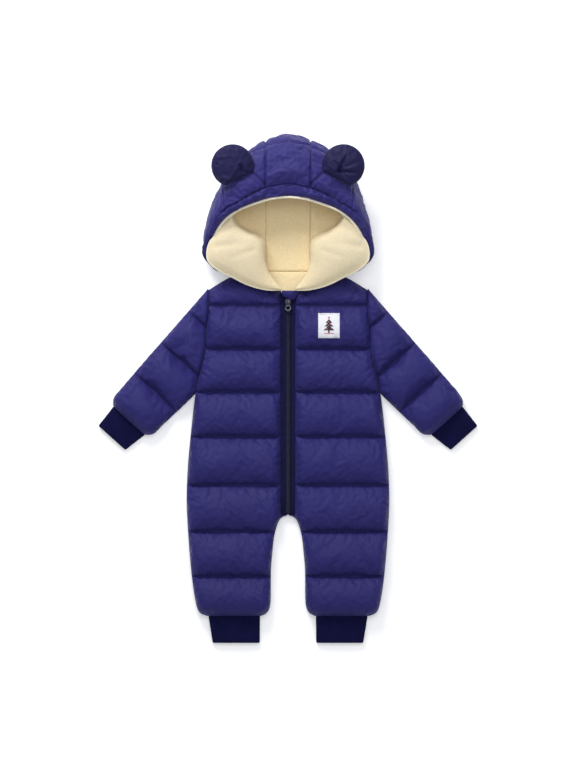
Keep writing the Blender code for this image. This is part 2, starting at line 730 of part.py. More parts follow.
CUTTER_DEEP = 3.0  # a cutter's thickness, in thicknesses of the tab
pull = pull_solid("zip_pull", oblong(ARM_OUTER, RING_Y, PULL_THICK / 2))
slot = oblong(ARM_INNER, -SLOT_LENGTH, -PULL_THICK / 2)
PULL_CUTS = (
    ("pull_ring", circle(RING_RADIUS, RING_Y, RING_ROUND), "UNION", 1.0),
    ("pull_slot", slot, "DIFFERENCE", CUTTER_DEEP),
    ("pull_hole", circle(RING_HOLE, RING_Y, RING_ROUND), "DIFFERENCE", CUTTER_DEEP),
)
for name, outline, operation, deep in PULL_CUTS:
    tool = pull_solid(name, outline, -deep * PULL_THICK / 2, deep * PULL_THICK / 2)
    tool.hide_render = True
    tool.display_type = "WIRE"
    change = pull.modifiers.new(name, "BOOLEAN")
    change.operation = operation
    change.solver = "EXACT"
    change.object = tool


# Chin guard: a small folded flap of shell cloth over the zip's top end.
GUARD_OUTLINE = (
    (-0.0100, 0.1680),
    (-0.0090, 0.1590),
    (-0.0030, 0.1555),
    (0.0050, 0.1530),
    (0.0115, 0.1545),
    (0.0150, 0.1595),
    (0.0180, 0.1680),
)
GUARD_THICK = 0.0024
GUARD_Z = SLIDER_Z + 0.0024
bm = bmesh.new()
face = bm.faces.new([bm.verts.new((x, y, GUARD_Z)) for x, y in GUARD_OUTLINE])
raised = bmesh.ops.extrude_face_region(bm, geom=[face])
far = [v for v in raised["geom"] if isinstance(v, bmesh.types.BMVert)]
bmesh.ops.translate(bm, verts=far, vec=(0, 0, GUARD_THICK))
add("chin_guard", bm, SHELL)

# Neck lining: fleece on the back panel, in the opening at the throat.
NECK_LINING = ((0.0115, 0.150), (0.0115, 0.166), (0.0225, 0.1790), (0.0335, 0.1985))
NECK_LINING_THICK = 0.0025


def neck_lining(height):
    def point(i, j):
        x, y = NECK_LINING[j]
        return Vector((x * (i - 1), y, height))

    return point


neck_over, neck_under = neck_lining(FRONT_BOTTOM + NECK_LINING_THICK), neck_lining(FRONT_BOTTOM)
wall("neck_lining", 2, len(NECK_LINING) - 1, neck_over, neck_under, FLEECE)

# Chest patch: a woven label laid on the left front, made from the panel's own surface.
PATCH_X = (0.0510, 0.0750, 0.0880)
PATCH_Y = (0.0875, 0.1070, 0.1305)
PATCH_THICK = 0.0010
bpy.context.view_layer.update()
chest = BVHTree.FromObject(bpy.data.objects["front_left"], bpy.context.evaluated_depsgraph_get())


def patch_point(rise):
    def place(i, j):
        hit = chest.ray_cast(Vector((PATCH_X[i], PATCH_Y[j], 1.0)), Vector((0, 0, -1)))
        return hit[0] + Vector((0, 0, rise))

    return place


wall("chest_patch", 2, 2, patch_point(SEAM_GAP + PATCH_THICK), patch_point(SEAM_GAP), PATCH)
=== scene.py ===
"""A baby snowsuit laid out on its back: quilted shell, fleece-lined hood with two ears, zip, cuffs and ribs.

Metres, +Z up, +Y from the ankles to the hood. Left is the wearer's left, at +X.
"""

import math

import bmesh
import bpy
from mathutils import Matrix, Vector, noise
from mathutils.bvhtree import BVHTree


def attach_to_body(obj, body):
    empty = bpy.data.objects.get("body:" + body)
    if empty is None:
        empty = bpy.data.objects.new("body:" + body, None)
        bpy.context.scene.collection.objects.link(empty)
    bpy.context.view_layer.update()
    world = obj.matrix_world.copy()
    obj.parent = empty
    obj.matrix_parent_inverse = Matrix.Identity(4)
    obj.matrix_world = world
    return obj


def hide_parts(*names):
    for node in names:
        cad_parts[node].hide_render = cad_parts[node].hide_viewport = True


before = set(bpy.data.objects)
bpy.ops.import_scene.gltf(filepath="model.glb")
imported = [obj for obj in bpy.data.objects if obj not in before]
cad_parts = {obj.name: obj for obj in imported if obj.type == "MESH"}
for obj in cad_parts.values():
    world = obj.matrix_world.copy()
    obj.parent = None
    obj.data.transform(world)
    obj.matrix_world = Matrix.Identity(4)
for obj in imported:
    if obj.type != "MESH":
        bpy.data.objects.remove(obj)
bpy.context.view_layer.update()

scene = bpy.context.scene

# ---------------------------------------------------------------------------------------------------
# Table, light and camera. The suit lies on a white acrylic table top lit from below, seen from straight
# above, under one wide soft light from beyond the hood and weaker ones overhead and below the feet.
CAMERA_HEIGHT = 16.0
SEEN_HEIGHT = 1.3056  # of the table, from the picture's bottom edge to its top
CAMERA_Y = 0.010
SENSOR = 36.0
SKY_COLOUR = (0.94, 0.96, 1.0, 1.0)
SKY_STRENGTH = 0.46

eye = bpy.data.cameras.new("camera")
eye.sensor_width = SENSOR
eye.lens = SENSOR * CAMERA_HEIGHT / SEEN_HEIGHT
camera = bpy.data.objects.new("camera", eye)
camera.location = (0.0, CAMERA_Y, CAMERA_HEIGHT)
scene.collection.objects.link(camera)
scene.camera = camera
scene.view_settings.view_transform = "Standard"


def soft_light(name, place, size, power):
    """A round lamp that faces the suit's middle, in metres and watts."""
    lamp = bpy.data.lights.new(name, "AREA")
    lamp.shape = "DISK"
    lamp.size = size
    lamp.energy = power
    made = bpy.data.objects.new(name, lamp)
    made.location = place
    made.rotation_euler = (-Vector(place)).to_track_quat("-Z", "Y").to_euler()
    scene.collection.objects.link(made)


soft_light("key", (-0.5, 1.45, 1.10), 0.8, 22.0)
soft_light("overhead", (0.1, 0.6, 2.2), 1.2, 12.0)
soft_light("fill", (0.6, -2.2, 1.5), 1.8, 1.6)

sky = bpy.data.worlds.new("studio")
sky.use_nodes = True
sky.node_tree.nodes["Background"].inputs["Color"].default_value = SKY_COLOUR
sky.node_tree.nodes["Background"].inputs["Strength"].default_value = SKY_STRENGTH
scene.world = sky


def new_material(name, roughness, sheen=0.0, metallic=0.0):
    """A material with its Principled shader, and the links and nodes to build its pattern with."""
    made = bpy.data.materials.new(name)
    made.use_nodes = True
    shader = made.node_tree.nodes["Principled BSDF"]
    shader.inputs["Roughness"].default_value = roughness
    shader.inputs["Sheen Weight"].default_value = sheen
    shader.inputs["Sheen Roughness"].default_value = 0.45
    shader.inputs["Metallic"].default_value = metallic
    shader.inputs["Specular IOR Level"].default_value = 0.35
    return made, made.node_tree, shader


def feed(tree, socket, term):
    """The socket takes a number or a colour, or a link from another socket."""
    if isinstance(term, bpy.types.NodeSocket):
        tree.links.new(term, socket)
    else:
        socket.default_value = term


def add_node(tree, kind, **settings):
    """A node with its sockets set: a socket is named with _ for each space, and a link is a socket."""
    node = tree.nodes.new(kind)
    for name, value in settings.items():
        if hasattr(node, name) and name not in ("inputs", "outputs"):
            setattr(node, name, value)
            continue
        wanted = name.replace("_", " ")
        feed(tree, next(s for s in node.inputs if s.name == wanted and s.enabled), value)
    return node


def object_place(tree):
    return add_node(tree, "ShaderNodeTexCoord").outputs["Object"]


def calc(tree, operation, *terms):
    """The result of a Math node on these numbers or sockets."""
    node = tree.nodes.new("ShaderNodeMath")
    node.operation = operation
    for socket, term in zip(node.inputs, terms):
        feed(tree, socket, term)
    return node.outputs[0]


def mixed(tree, share, dark, light):
    """The colour this share of the way from one to another. Each is a colour or a socket."""
    node = tree.nodes.new("ShaderNodeMix")
    node.data_type = "RGBA"
    for number, term in ((0, share), (6, dark), (7, light)):
        feed(tree, node.inputs[number], term)
    return node.outputs[2]


def ranged(tree, value, none, full):
    """A share from 0 to 1, as a value goes from none to full."""
    node = add_node(tree, "ShaderNodeMapRange", Value=value)
    node.inputs["From Min"].default_value, node.inputs["From Max"].default_value = none, full
    return node.outputs["Result"]


def ribs_of(tree, turns):
    """Round ribs from 0 to 1, one for each whole turn."""
    return calc(tree, "ABSOLUTE", calc(tree, "SINE", calc(tree, "MULTIPLY", turns, math.pi)))


def noise_of(tree, place, scale, detail=2.0, distortion=0.0):
    node = add_node(
        tree, "ShaderNodeTexNoise", Vector=place, Scale=scale, Detail=detail, Distortion=distortion
    )
    return node.outputs[0]


def pattern(name, takes, gives):
    """A node group that several materials share, with what goes into it and what comes out."""
    group = bpy.data.node_groups.new(name, "ShaderNodeTree")
    for direction, sockets in (("INPUT", takes), ("OUTPUT", gives)):
        for label, kind in sockets.items():
            socket_type = "NodeSocket" + kind
            group.interface.new_socket(name=label, in_out=direction, socket_type=socket_type)
    return group, group.nodes.new("NodeGroupInput").outputs, group.nodes.new("NodeGroupOutput").inputs


def placed(tree, group, **settings):
    """The outputs of a shared pattern, placed in a material."""
    return add_node(tree, "ShaderNodeGroup", node_tree=group, **settings).outputs


def bump(tree, shader, *layers):
    """The shader's normal from layers of (height, distance, strength), the finest last."""
    normal = None
    for height, distance, strength in layers:
        node = add_node(tree, "ShaderNodeBump", Strength=strength, Distance=distance, Height=height)
        if normal is not None:
            tree.links.new(normal, node.inputs["Normal"])
        normal = node.outputs["Normal"]
    tree.links.new(normal, shader.inputs["Normal"])


# Colour that isn't quite even, as dyed cloth and cast or moulded pieces have.
uneven, taken, given = pattern(
    "uneven_tone",
    {"Place": "Vector", "Dark": "Color", "Light": "Color", "Broad": "Float", "Fine": "Float"},
    {"Colour": "Color", "Share": "Float"},
)
broad = noise_of(uneven, taken["Place"], taken["Broad"], detail=3.0)
fine = noise_of(uneven, taken["Place"], taken["Fine"], detail=1.0)
both = calc(uneven, "MULTIPLY_ADD", fine, 0.45, calc(uneven, "MULTIPLY", broad, 0.55))
spread = calc(uneven, "MULTIPLY_ADD", both, 2.4, -0.7)
uneven.links.new(spread, given["Share"])
uneven.links.new(mixed(uneven, spread, taken["Dark"], taken["Light"]), given["Colour"])


def new_mesh(name, bm, finish, smooth=True):
    """The finished object of a bmesh, at the origin."""
    mesh = bpy.data.meshes.new(name)
    bm.to_mesh(mesh)
    bm.free()
    mesh.materials.append(finish)
    if smooth:
        mesh.shade_smooth()
    made = bpy.data.objects.new(name, mesh)
    scene.collection.objects.link(made)
    return made


TABLE_SIZE = 30.0
TABLE_DARK, TABLE_LIGHT = (0.90, 0.905, 0.915, 1.0), (0.935, 0.94, 0.95, 1.0)
TABLE_GLOW = 0.34
TABLE_DROP = 0.0002  # below the cloth that lies on it
table_top, tree, shader = new_material("table_top", 0.75)
tones = placed(
    tree, uneven, Place=object_place(tree), Dark=TABLE_DARK, Light=TABLE_LIGHT, Broad=2.0, Fine=400.0
)
tree.links.new(tones["Colour"], shader.inputs["Base Color"])
shader.inputs["Emission Color"].default_value = (1.0, 1.0, 1.0, 1.0)
shader.inputs["Emission Strength"].default_value = TABLE_GLOW
bm = bmesh.new()
bmesh.ops.create_grid(bm, x_segments=1, y_segments=1, size=TABLE_SIZE / 2)
bmesh.ops.translate(bm, verts=bm.verts[:], vec=(0, 0, -TABLE_DROP))
new_mesh("table", bm, table_top, smooth=False)

# ---------------------------------------------------------------------------------------------------
# Front panels. Each is a plain-woven polyester shell over wadding, from the shoulder to the ankle, sewn
# down by straight lines of quilting. The cloth swells between the lines and puckers along them.
BACK_TOP = 0.009  # the height of the side seams
SEAM_GAP = 0.0003
FRONT_BOTTOM = BACK_TOP + SEAM_GAP
LINE_LOFT = 0.0056
PUFF = 0.0171
CREST = 0.40  # where between its two lines a channel is highest
EDGE_LOFT = 0.0028
ZIP_EDGE_LOFT = 0.0062
ARM_EDGE_LOFT = 0.0085
HEM_Y = -0.384
QUILT_LINES = (HEM_Y, -0.316, -0.240, -0.1615, -0.079, -0.0035, 0.070, 0.144)
CROTCH_Y = -0.2125
UNDERARM = (0.157, -0.007)
SHOULDER = (0.136, 0.169)
BACK_NECK_Y = 0.1995
ZIP_HALF = 0.0122
EDGE_ROUND = 0.016
NECK_ROUND = 0.050
CLOTH_STEP = 0.0030  # between the points of a swelling cloth
HANDS = (("left", 1), ("right", -1))


def through(knots):
    """A smooth curve through (position, value) knots, straight on beyond its ends."""
    places = [k[0] for k in knots]
    values = [k[1] for k in knots]
    last = len(knots) - 1

    def slope(i):
        a, b = max(i - 1, 0), min(i + 1, last)
        return (values[b] - values[a]) / (places[b] - places[a])

    def value(at):
        i = 0
        while i < last - 1 and at > places[i + 1]:
            i += 1
        span = places[i + 1] - places[i]
        t = min(max((at - places[i]) / span, 0.0), 1.0)
        a, b = values[i], values[i + 1]
        ma, mb = slope(i) * span, slope(i + 1) * span
        square, cube = t * t, t * t * t
        rising = 3 * square - 2 * cube
        return (1 - rising) * a + rising * b + (cube - 2 * square + t) * ma + (cube - square) * mb

    return value


side_edge = through(
    [
        (-0.384, 0.138), (-0.3805, 0.1475), (-0.374, 0.1530), (-0.360, 0.1570), (-0.333, 0.1615),
        (-0.292, 0.1660), (-0.250, 0.1692), (-0.190, 0.1722), (-0.130, 0.1702), (-0.075, 0.1652),
        (-0.020, 0.1592), UNDERARM[::-1], (0.018, 0.1520), (0.047, 0.1460), (0.070, 0.1410),
        (0.110, 0.1378), (0.148, 0.1350), SHOULDER[::-1],
    ]
)
inseam = through(
    [
        (-0.384, 0.0455), (-0.3805, 0.0380), (-0.374, 0.0325), (-0.360, 0.0295), (-0.306, 0.0288),
        (-0.272, 0.0260), (-0.250, 0.0235), (-0.235, 0.0200), (-0.224, 0.0160), (-0.2165, 0.0105),
        (CROTCH_Y, 0.0),
    ]
)
front_top = through(
    [
        (0.0125, 0.1665), (0.028, 0.1740), (0.046, 0.1860), (0.064, 0.1970), (0.076, 0.1990),
        (0.102, 0.1895), SHOULDER,
    ]
)


def round_up(distance, radius):
    """How far a padded edge has risen, from 0 at its seam to 1 at this distance in."""
    t = min(max(distance / radius, 0.0), 1.0)
    return math.sqrt(1 - (1 - t) ** 2)


def channel(fraction):
    """How full a channel is. It bulges towards its lower line, where the wadding has sunk."""
    t = min(max(fraction, 0.0), 1.0)
    if t < CREST:
        return (1 - ((CREST - t) / CREST) ** 2.6) ** 0.42
    return (1 - ((t - CREST) / (1 - CREST)) ** 2.0) ** 0.62


def line_gap(point, start, end):
    """How far a point is from a straight line seen from above, and how far along it, from 0 to 1."""
    a, b, p = Vector(start), Vector(end), Vector(point[:2])
    t = max(0.0, min(1.0, (p - a).dot(b - a) / (b - a).length_squared))
    return (p - a - (b - a) * t).length, t


def trough(point, start, end, half, depth):
    """The depth of a soft crease at a point. It is deepest at its start and fades out at its end."""
    away, t = line_gap(point, start, end)
    return depth * math.exp(-((away / half) ** 2)) * (1 - t) ** 0.6


def wander(place, size, seed):
    """Smooth noise from -1 to 1, with waves of about this size."""
    return noise.noise(Vector(place) / size + Vector((seed * 7.3, seed * 3.1, seed * 5.7)))


def sheet_mesh(columns, rows, place, closed=False, turned=False):
    """A grid of cloth. place(i, j) gives each point and how firmly it is sewn down, from 0 to 1. A
    turned one has its faces the other way, as a mirrored piece needs."""
    bm = bmesh.new()
    bmesh.ops.create_grid(bm, x_segments=columns, y_segments=rows, size=1)
    sewn = bm.verts.layers.float.new("sewn")
    for vert in bm.verts:
        i = round((vert.co.x + 1) / 2 * columns)
        j = round((vert.co.y + 1) / 2 * rows)
        if closed and i == columns:
            i = 0
        vert.co, vert[sewn] = place(i, j)
    if closed:
        bmesh.ops.remove_doubles(bm, verts=bm.verts[:], dist=0.00001)
    if turned:
        bmesh.ops.reverse_faces(bm, faces=bm.faces[:])
    return bm


def swell(piece, pressure, spare, cap, frames=16):
    """The wadding pushes the cloth out where it isn't sewn down. The cloth is cut a little larger than
    its place (spare), so it puckers at the seams. No point moves further than cap."""
    start = [vert.co.copy() for vert in piece.data.vertices]
    group = piece.vertex_groups.new(name="sewn")
    for index, held in enumerate(piece.data.attributes["sewn"].data):
        if held.value > 0:
            group.add([index], held.value, "REPLACE")
    cloth = piece.modifiers.new("cloth", "CLOTH")
    settings = cloth.settings
    settings.quality = 5
    settings.mass = 0.06
    settings.air_damping = 3.0
    settings.tension_stiffness = 12.0
    settings.compression_stiffness = 12.0
    settings.shear_stiffness = 4.0
    settings.bending_stiffness = 0.12
    settings.tension_damping = 8.0
    settings.compression_damping = 8.0
    settings.shear_damping = 8.0
    settings.use_pressure = True
    settings.uniform_pressure_force = pressure
    settings.shrink_min = -spare
    settings.vertex_group_mass = group.name
    settings.pin_stiffness = 50.0
    settings.effector_weights.gravity = 0.0
    cloth.collision_settings.use_collision = False
    cloth.point_cache.frame_start = 1
    cloth.point_cache.frame_end = frames
    for number in range(1, frames + 1):
        scene.frame_set(number)
    settled = piece.evaluated_get(bpy.context.evaluated_depsgraph_get())
    ends = [vert.co.copy() for vert in settled.data.vertices]
    piece.modifiers.remove(cloth)
    piece.vertex_groups.remove(group)
    scene.frame_set(1)
    for vert, first, last in zip(piece.data.vertices, start, ends):
        way = last - first
        if way.length > cap:
            way *= cap / way.length
        vert.co = first + way
    piece.data.update()


YOKE_ROWS = 15  # the last channel ends at the neckline
CHANNEL_ROWS = [round((b - a) / CLOTH_STEP) for a, b in zip(QUILT_LINES, QUILT_LINES[1:])]
CHANNEL_ROWS.append(YOKE_ROWS)
FRONT_ROWS = [(n, k / count) for n, count in enumerate(CHANNEL_ROWS) for k in range(count)]
FRONT_ROWS.append((len(CHANNEL_ROWS) - 1, 1.0))
FRONT_COLUMNS = 52
STIR = 0.0005  # how far the cloth strays from even, so that it puckers unevenly as it swells


def ease(share, tight):
    """Columns closer together near both edges."""
    return share - tight * math.sin(2 * math.pi * share) / (2 * math.pi)


YOKE_LIFT = 0.0062  # the top line is pulled less tight
ZIP_FOLDS, ZIP_FOLD_PITCH = 26, 0.0128  # small folds that the zip's seam gathers, and their spacing
ZIP_FOLD_LOW, ZIP_FOLD_HALF = -0.190, 0.0024
FRONT_FOLDS = {1: [], -1: []}  # folds off the armhole and the zip, as (start, end, half width, depth)
for hand, side in HANDS:
    FRONT_FOLDS[side] += [
        ((0.138, 0.050), (0.1215, 0.0565), 0.0040, 0.0040 if side < 0 else 0.0026),
        ((0.140, 0.036), (0.1180, 0.0200), 0.0036, 0.0016),
        ((0.142, 0.026), (0.1240, 0.0060), 0.0034, 0.0014),
        ((0.152, -0.006), (0.1280, -0.0300), 0.0040, 0.0012),
        ((0.066, 0.190), (0.0660, 0.1740), 0.0030, 0.0030 if side > 0 else 0.0008),
    ]
    for n in range(ZIP_FOLDS):
        y = ZIP_FOLD_LOW + ZIP_FOLD_PITCH * n
        lean = 0.9 * wander((0.0, y, side), 0.010, 7)
        reach = 0.010 + 0.010 * abs(wander((0.0, y, side), 0.009, 8))
        fold_depth = 0.0012 + 0.0012 * wander((0.0, y, side), 0.011, 9)
        start = (ZIP_HALF + 0.001, y)
        end = (start[0] + reach, y + lean * reach)
        FRONT_FOLDS[side].append((start, end, ZIP_FOLD_HALF, fold_depth))


def front_place(column, row, side):
    """A front panel's cloth before it swells, and how firmly it is sewn there."""
    number, fraction = FRONT_ROWS[row]
    start = QUILT_LINES[number]
    last = number == len(CHANNEL_ROWS) - 1
    share = ease(column / FRONT_COLUMNS, 0.35)
    end = SHOULDER[1] if last else QUILT_LINES[number + 1]
    y = start + fraction * (end - start)
    inner = max(inseam(min(y, CROTCH_Y)), ZIP_HALF + SEAM_GAP)
    outer = side_edge(min(y, SHOULDER[1]))
    x = inner + share * (outer - inner)
    from_top = 1.0
    if last:
        y = start + fraction * (front_top(x) - start)
        from_top = front_top(x) - y
    spot = (side * x, y, 0.0)
    full = channel(fraction) * (1 + 0.10 * wander(spot, 0.045, 1))
    loft = LINE_LOFT + PUFF * full
    loft += 0.0011 * (1.15 - full) * wander((side * x * 4.5, y, 0.0), 0.030, 6)
    if last and fraction == 0.0:
        loft += YOKE_LIFT
    loft -= sum(trough((x, y), *fold) for fold in FRONT_FOLDS[side])
    inner_loft = ZIP_EDGE_LOFT if y > CROTCH_Y else EDGE_LOFT
    outer_loft = EDGE_LOFT if y < UNDERARM[1] else ARM_EDGE_LOFT
    loft = inner_loft + (loft - inner_loft) * round_up(x - inner, EDGE_ROUND)
    loft = outer_loft + (loft - outer_loft) * round_up(outer - x, EDGE_ROUND)
    loft = EDGE_LOFT + (loft - EDGE_LOFT) * round_up(from_top, NECK_ROUND)
    loft = EDGE_LOFT + (loft - EDGE_LOFT) * round_up(y - HEM_Y, EDGE_ROUND)
    edge = column in (0, FRONT_COLUMNS) or row in (0, len(FRONT_ROWS) - 1)
    place = Vector((side * x, y, FRONT_BOTTOM + loft))
    if not edge:
        stir = (wander(spot, 0.009, 2), wander(spot, 0.009, 3), 2 * wander(spot, 0.007, 4))
        place += STIR * Vector(stir)
    return place, 1.0 if edge or fraction == 0.0 else 0.0


def points_of(made):
    """The points among what an extrusion made."""
    return [item for item in made["geom"] if isinstance(item, bmesh.types.BMVert)]


def close_below(bm, height):
    """Walls from the cloth's edge straight down, and a flat underside."""
    rim = [edge for edge in bm.edges if edge.is_boundary]
    made = bmesh.ops.extrude_edge_only(bm, edges=rim)
    for vert in points_of(made):
        vert.co.z = height
    base = [item for item in made["geom"] if isinstance(item, bmesh.types.BMEdge)]
    bmesh.ops.holes_fill(bm, edges=[edge for edge in base if edge.is_boundary], sides=0)
    bmesh.ops.recalc_face_normals(bm, faces=bm.faces[:])


def smoother(piece):
    """The settled cloth with its points doubled both ways, as a bmesh."""
    bm = bmesh.new()
    bm.from_mesh(piece.data)
    bmesh.ops.subdivide_edges(bm, edges=bm.edges[:], cuts=1, use_grid_fill=True, smooth=0.0)
    sewn = bm.verts.layers.float["sewn"]
    inner = [vert for vert in bm.verts if vert[sewn] < 0.9 and not vert.is_boundary]
    bmesh.ops.smooth_vert(bm, verts=inner, factor=0.5, use_axis_x=True, use_axis_y=True, use_axis_z=True)
    return bm


# Plain weave: warp and weft threads that pass over and under each other.
weave, taken, given = pattern(
    "plain_weave", {"Place": "Vector", "Pitch": "Float"}, {"Height": "Float", "Over": "Float"}
)
split = add_node(weave, "ShaderNodeSeparateXYZ", Vector=taken["Place"]).outputs
waves = []
for axis in (0, 1):
    along = calc(weave, "MULTIPLY_ADD", split[2], 0.7, split[axis])
    turns = calc(weave, "DIVIDE", calc(weave, "MULTIPLY", along, math.pi), taken["Pitch"])
    waves.append(calc(weave, "SINE", turns))
crossing = calc(weave, "MULTIPLY", *waves)
weave.links.new(calc(weave, "POWER", calc(weave, "ABSOLUTE", crossing), 0.6), given["Height"])
weave.links.new(calc(weave, "MULTIPLY_ADD", crossing, 0.5, 0.5), given["Over"])

# Small creases, as thin cloth over wadding has between its seams.
creases, taken, given = pattern("creases", {"Place": "Vector", "Scale": "Float"}, {"Height": "Float"})
folded = noise_of(creases, taken["Place"], taken["Scale"], detail=4.0, distortion=0.7)
ridge = calc(creases, "ABSOLUTE", calc(creases, "SUBTRACT", folded, 0.5))
worn = calc(creases, "SMOOTH_MIN", calc(creases, "MULTIPLY", ridge, 4.0), 1.0, 0.4)
creases.links.new(worn, given["Height"])

SHELL_PITCH = 0.00042
# The painted highlight on the top of each thread of the shell cloth.
THREAD_TOP_HIGHLIGHT = 2.2  # how much lighter than the cloth the top of a thread can be


def shell_finish(name, dark, light):
    """Fine navy polyester with a faint lustre."""
    made, tree, shader = new_material(name, 0.60, sheen=0.06)
    shader.inputs["Specular IOR Level"].default_value = 0.22
    place = object_place(tree)
    tones = placed(tree, uneven, Place=place, Dark=dark, Light=light, Broad=14.0, Fine=1500.0)
    threads = placed(tree, weave, Place=place, Pitch=SHELL_PITCH)
    # Painted highlight: the tops of the threads, where they cross over, are made lighter.
    thread_highlight = calc(tree, "MULTIPLY", threads["Over"], 0.22)
    colour = mixed(tree, thread_highlight, tones["Colour"], [THREAD_TOP_HIGHLIGHT * value for value in light[:3]] + [1.0])
    tree.links.new(colour, shader.inputs["Base Color"])
    tree.links.new(calc(tree, "MULTIPLY_ADD", tones["Share"], 0.14, 0.54), shader.inputs["Roughness"])
    small = placed(tree, creases, Place=place, Scale=42.0)
    bump(tree, shader, (small["Height"], 0.0008, 0.12), (threads["Height"], 0.00006, 0.30))
    return made


shell = shell_finish("shell_cloth", (0.0135, 0.0115, 0.098, 1.0), (0.0195, 0.0165, 0.128, 1.0))


def attach(piece, body="suit"):
    """The piece goes with a body."""
    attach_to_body(piece, body)


def wear(piece, node):
    """The piece goes with the suit in place of its CAD node."""
    attach(piece)
    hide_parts(node)


def remake(piece, bm, rim=False):
    """The piece takes this bmesh, without the marks that its making needed. rim keeps one of them, how
    near its rim each point is, for a painted highlight there."""
    bm.to_mesh(piece.data)
    bm.free()
    marks = piece.data.attributes
    if rim:
        near = [item.value for item in marks["sewn"].data]
        marks.new("rim", "FLOAT", "POINT").data.foreach_set("value", near)
    for name in ("sewn", "behind"):
        if name in marks:
            marks.remove(marks[name])
    piece.data.shade_smooth()


def cloth_piece(name, bm, finish, rim=False):
    """A finished piece of cloth that doesn't swell."""
    piece = new_mesh(name, bmesh.new(), finish)
    remake(piece, bm, rim)
    return piece


def padded_piece(name, bm, finish, close, **push):
    """A quilted piece: its cloth pushed out over the wadding, made finer and closed behind."""
    piece = new_mesh(name, bm, finish)
    swell(piece, **push)
    bm = smoother(piece)
    close(bm)
    remake(piece, bm)
    return piece


fronts = {}
for hand, side in HANDS:
    bm = sheet_mesh(
        FRONT_COLUMNS, len(FRONT_ROWS) - 1, lambda i, j: front_place(i, j, side), turned=side < 0
    )
    fronts[hand] = padded_piece(
        "quilted_front_" + hand,
        bm,
        shell,
        lambda cloth: close_below(cloth, FRONT_BOTTOM),
        pressure=4.0,
        spare=0.018,
        cap=0.007,
    )
    wear(fronts[hand], "front_" + hand)

# ---------------------------------------------------------------------------------------------------
# Back panel. The same quilted shell in one piece from neck to ankles, flat where it lies, its edges
# turned up to the side seams, with shallow grooves along the quilting lines underneath.
BACK_ROUND = 0.0065
GROOVE = 0.0024
GROOVE_HALF = 0.010
BACK_COLUMNS = 40
back_top = through(
    [(0.0, BACK_NECK_Y), (0.052, BACK_NECK_Y), (0.076, 0.1990), (0.102, 0.1895), SHOULDER]
)


def merge(bm, other):
    """One bmesh takes another in."""
    held = bpy.data.meshes.new("held")
    other.to_mesh(held)
    other.free()
    bm.from_mesh(held)
    bpy.data.meshes.remove(held)


def back_place(column, row, side):
    number, fraction = FRONT_ROWS[row]
    start = QUILT_LINES[number]
    last = number == len(CHANNEL_ROWS) - 1
    end = SHOULDER[1] if last else QUILT_LINES[number + 1]
    y = start + fraction * (end - start)
    inner = max(0.0, inseam(y)) if y < CROTCH_Y else 0.0
    outer = side_edge(min(y, SHOULDER[1]))
    x = inner + ease(column / BACK_COLUMNS, 0.6) * (outer - inner)
    from_top = 1.0
    if last:
        y = start + fraction * (back_top(x) - start)
        from_top = back_top(x) - y
    from_inner = x - inner if y < CROTCH_Y else 1.0
    near = min(from_inner, outer - x, y - HEM_Y, from_top)
    z = BACK_TOP * (1 - round_up(near, BACK_ROUND))
    from_line = min(abs(y - line) for line in QUILT_LINES[1:])
    pucker = 1 + 0.4 * wander((x, y, 0), 0.008, 5)
    z = max(z, GROOVE * pucker * (1 - round_up(from_line, GROOVE_HALF)))
    return Vector((side * x, y, z)), 0.0


bm = bmesh.new()
for side in (1, -1):
    half = sheet_mesh(
        BACK_COLUMNS, len(FRONT_ROWS) - 1, lambda i, j: back_place(i, j, side), turned=side > 0
    )
    merge(bm, half)
bmesh.ops.remove_doubles(bm, verts=bm.verts[:], dist=0.00001)
close_below(bm, BACK_TOP)
back = cloth_piece("quilted_back", bm, shell)
wear(back, "back")

# ---------------------------------------------------------------------------------------------------
# Sleeves. Each is one piece of the quilted shell, closed along the underarm, laid flat and sewn to the
# body round a slanting armhole. The wadding stops where the knitted cuff is sewn on.
SLEEVE_ALONG = Vector((0.669, -0.743, 0.0))
SLEEVE_ACROSS = Vector((0.743, 0.669, 0.0))
SLEEVE_LINES = (-0.0550, 0.0145, 0.0845, 0.1535, 0.2205)
SLEEVE_ENDS_LOFT = 0.0055
SLEEVE_SQUARE = 2.7  # over 2 makes the flattened tube's section squarer than an ellipse
ARMHOLE_ROUND = 0.013
ARMHOLE_DIP = 0.55
UPPER_COLUMNS, UNDER_COLUMNS = 40, 16
sleeve_upper = through([(-0.0365, 0.2165), (0.190, 0.2125), (0.209, 0.2105), (0.2205, 0.2020)])
sleeve_lower = through(
    [(-0.055, 0.1060), (0.110, 0.1120), (0.190, 0.1180), (0.209, 0.1200), (0.2205, 0.1290)]
)
SLEEVE_ROWS = []
for number, (low, high) in enumerate(zip(SLEEVE_LINES, SLEEVE_LINES[1:])):
    count = round((high - low) / CLOTH_STEP)
    SLEEVE_ROWS += [(number, k / count) for k in range(count)]
SLEEVE_ROWS.append((len(SLEEVE_LINES) - 2, 1.0))


def from_armhole(x, y):
    """How far outside the body's edge a point lies, on the shoulder side of the underarm."""
    return x - side_edge(min(y, SHOULDER[1])) - SEAM_GAP


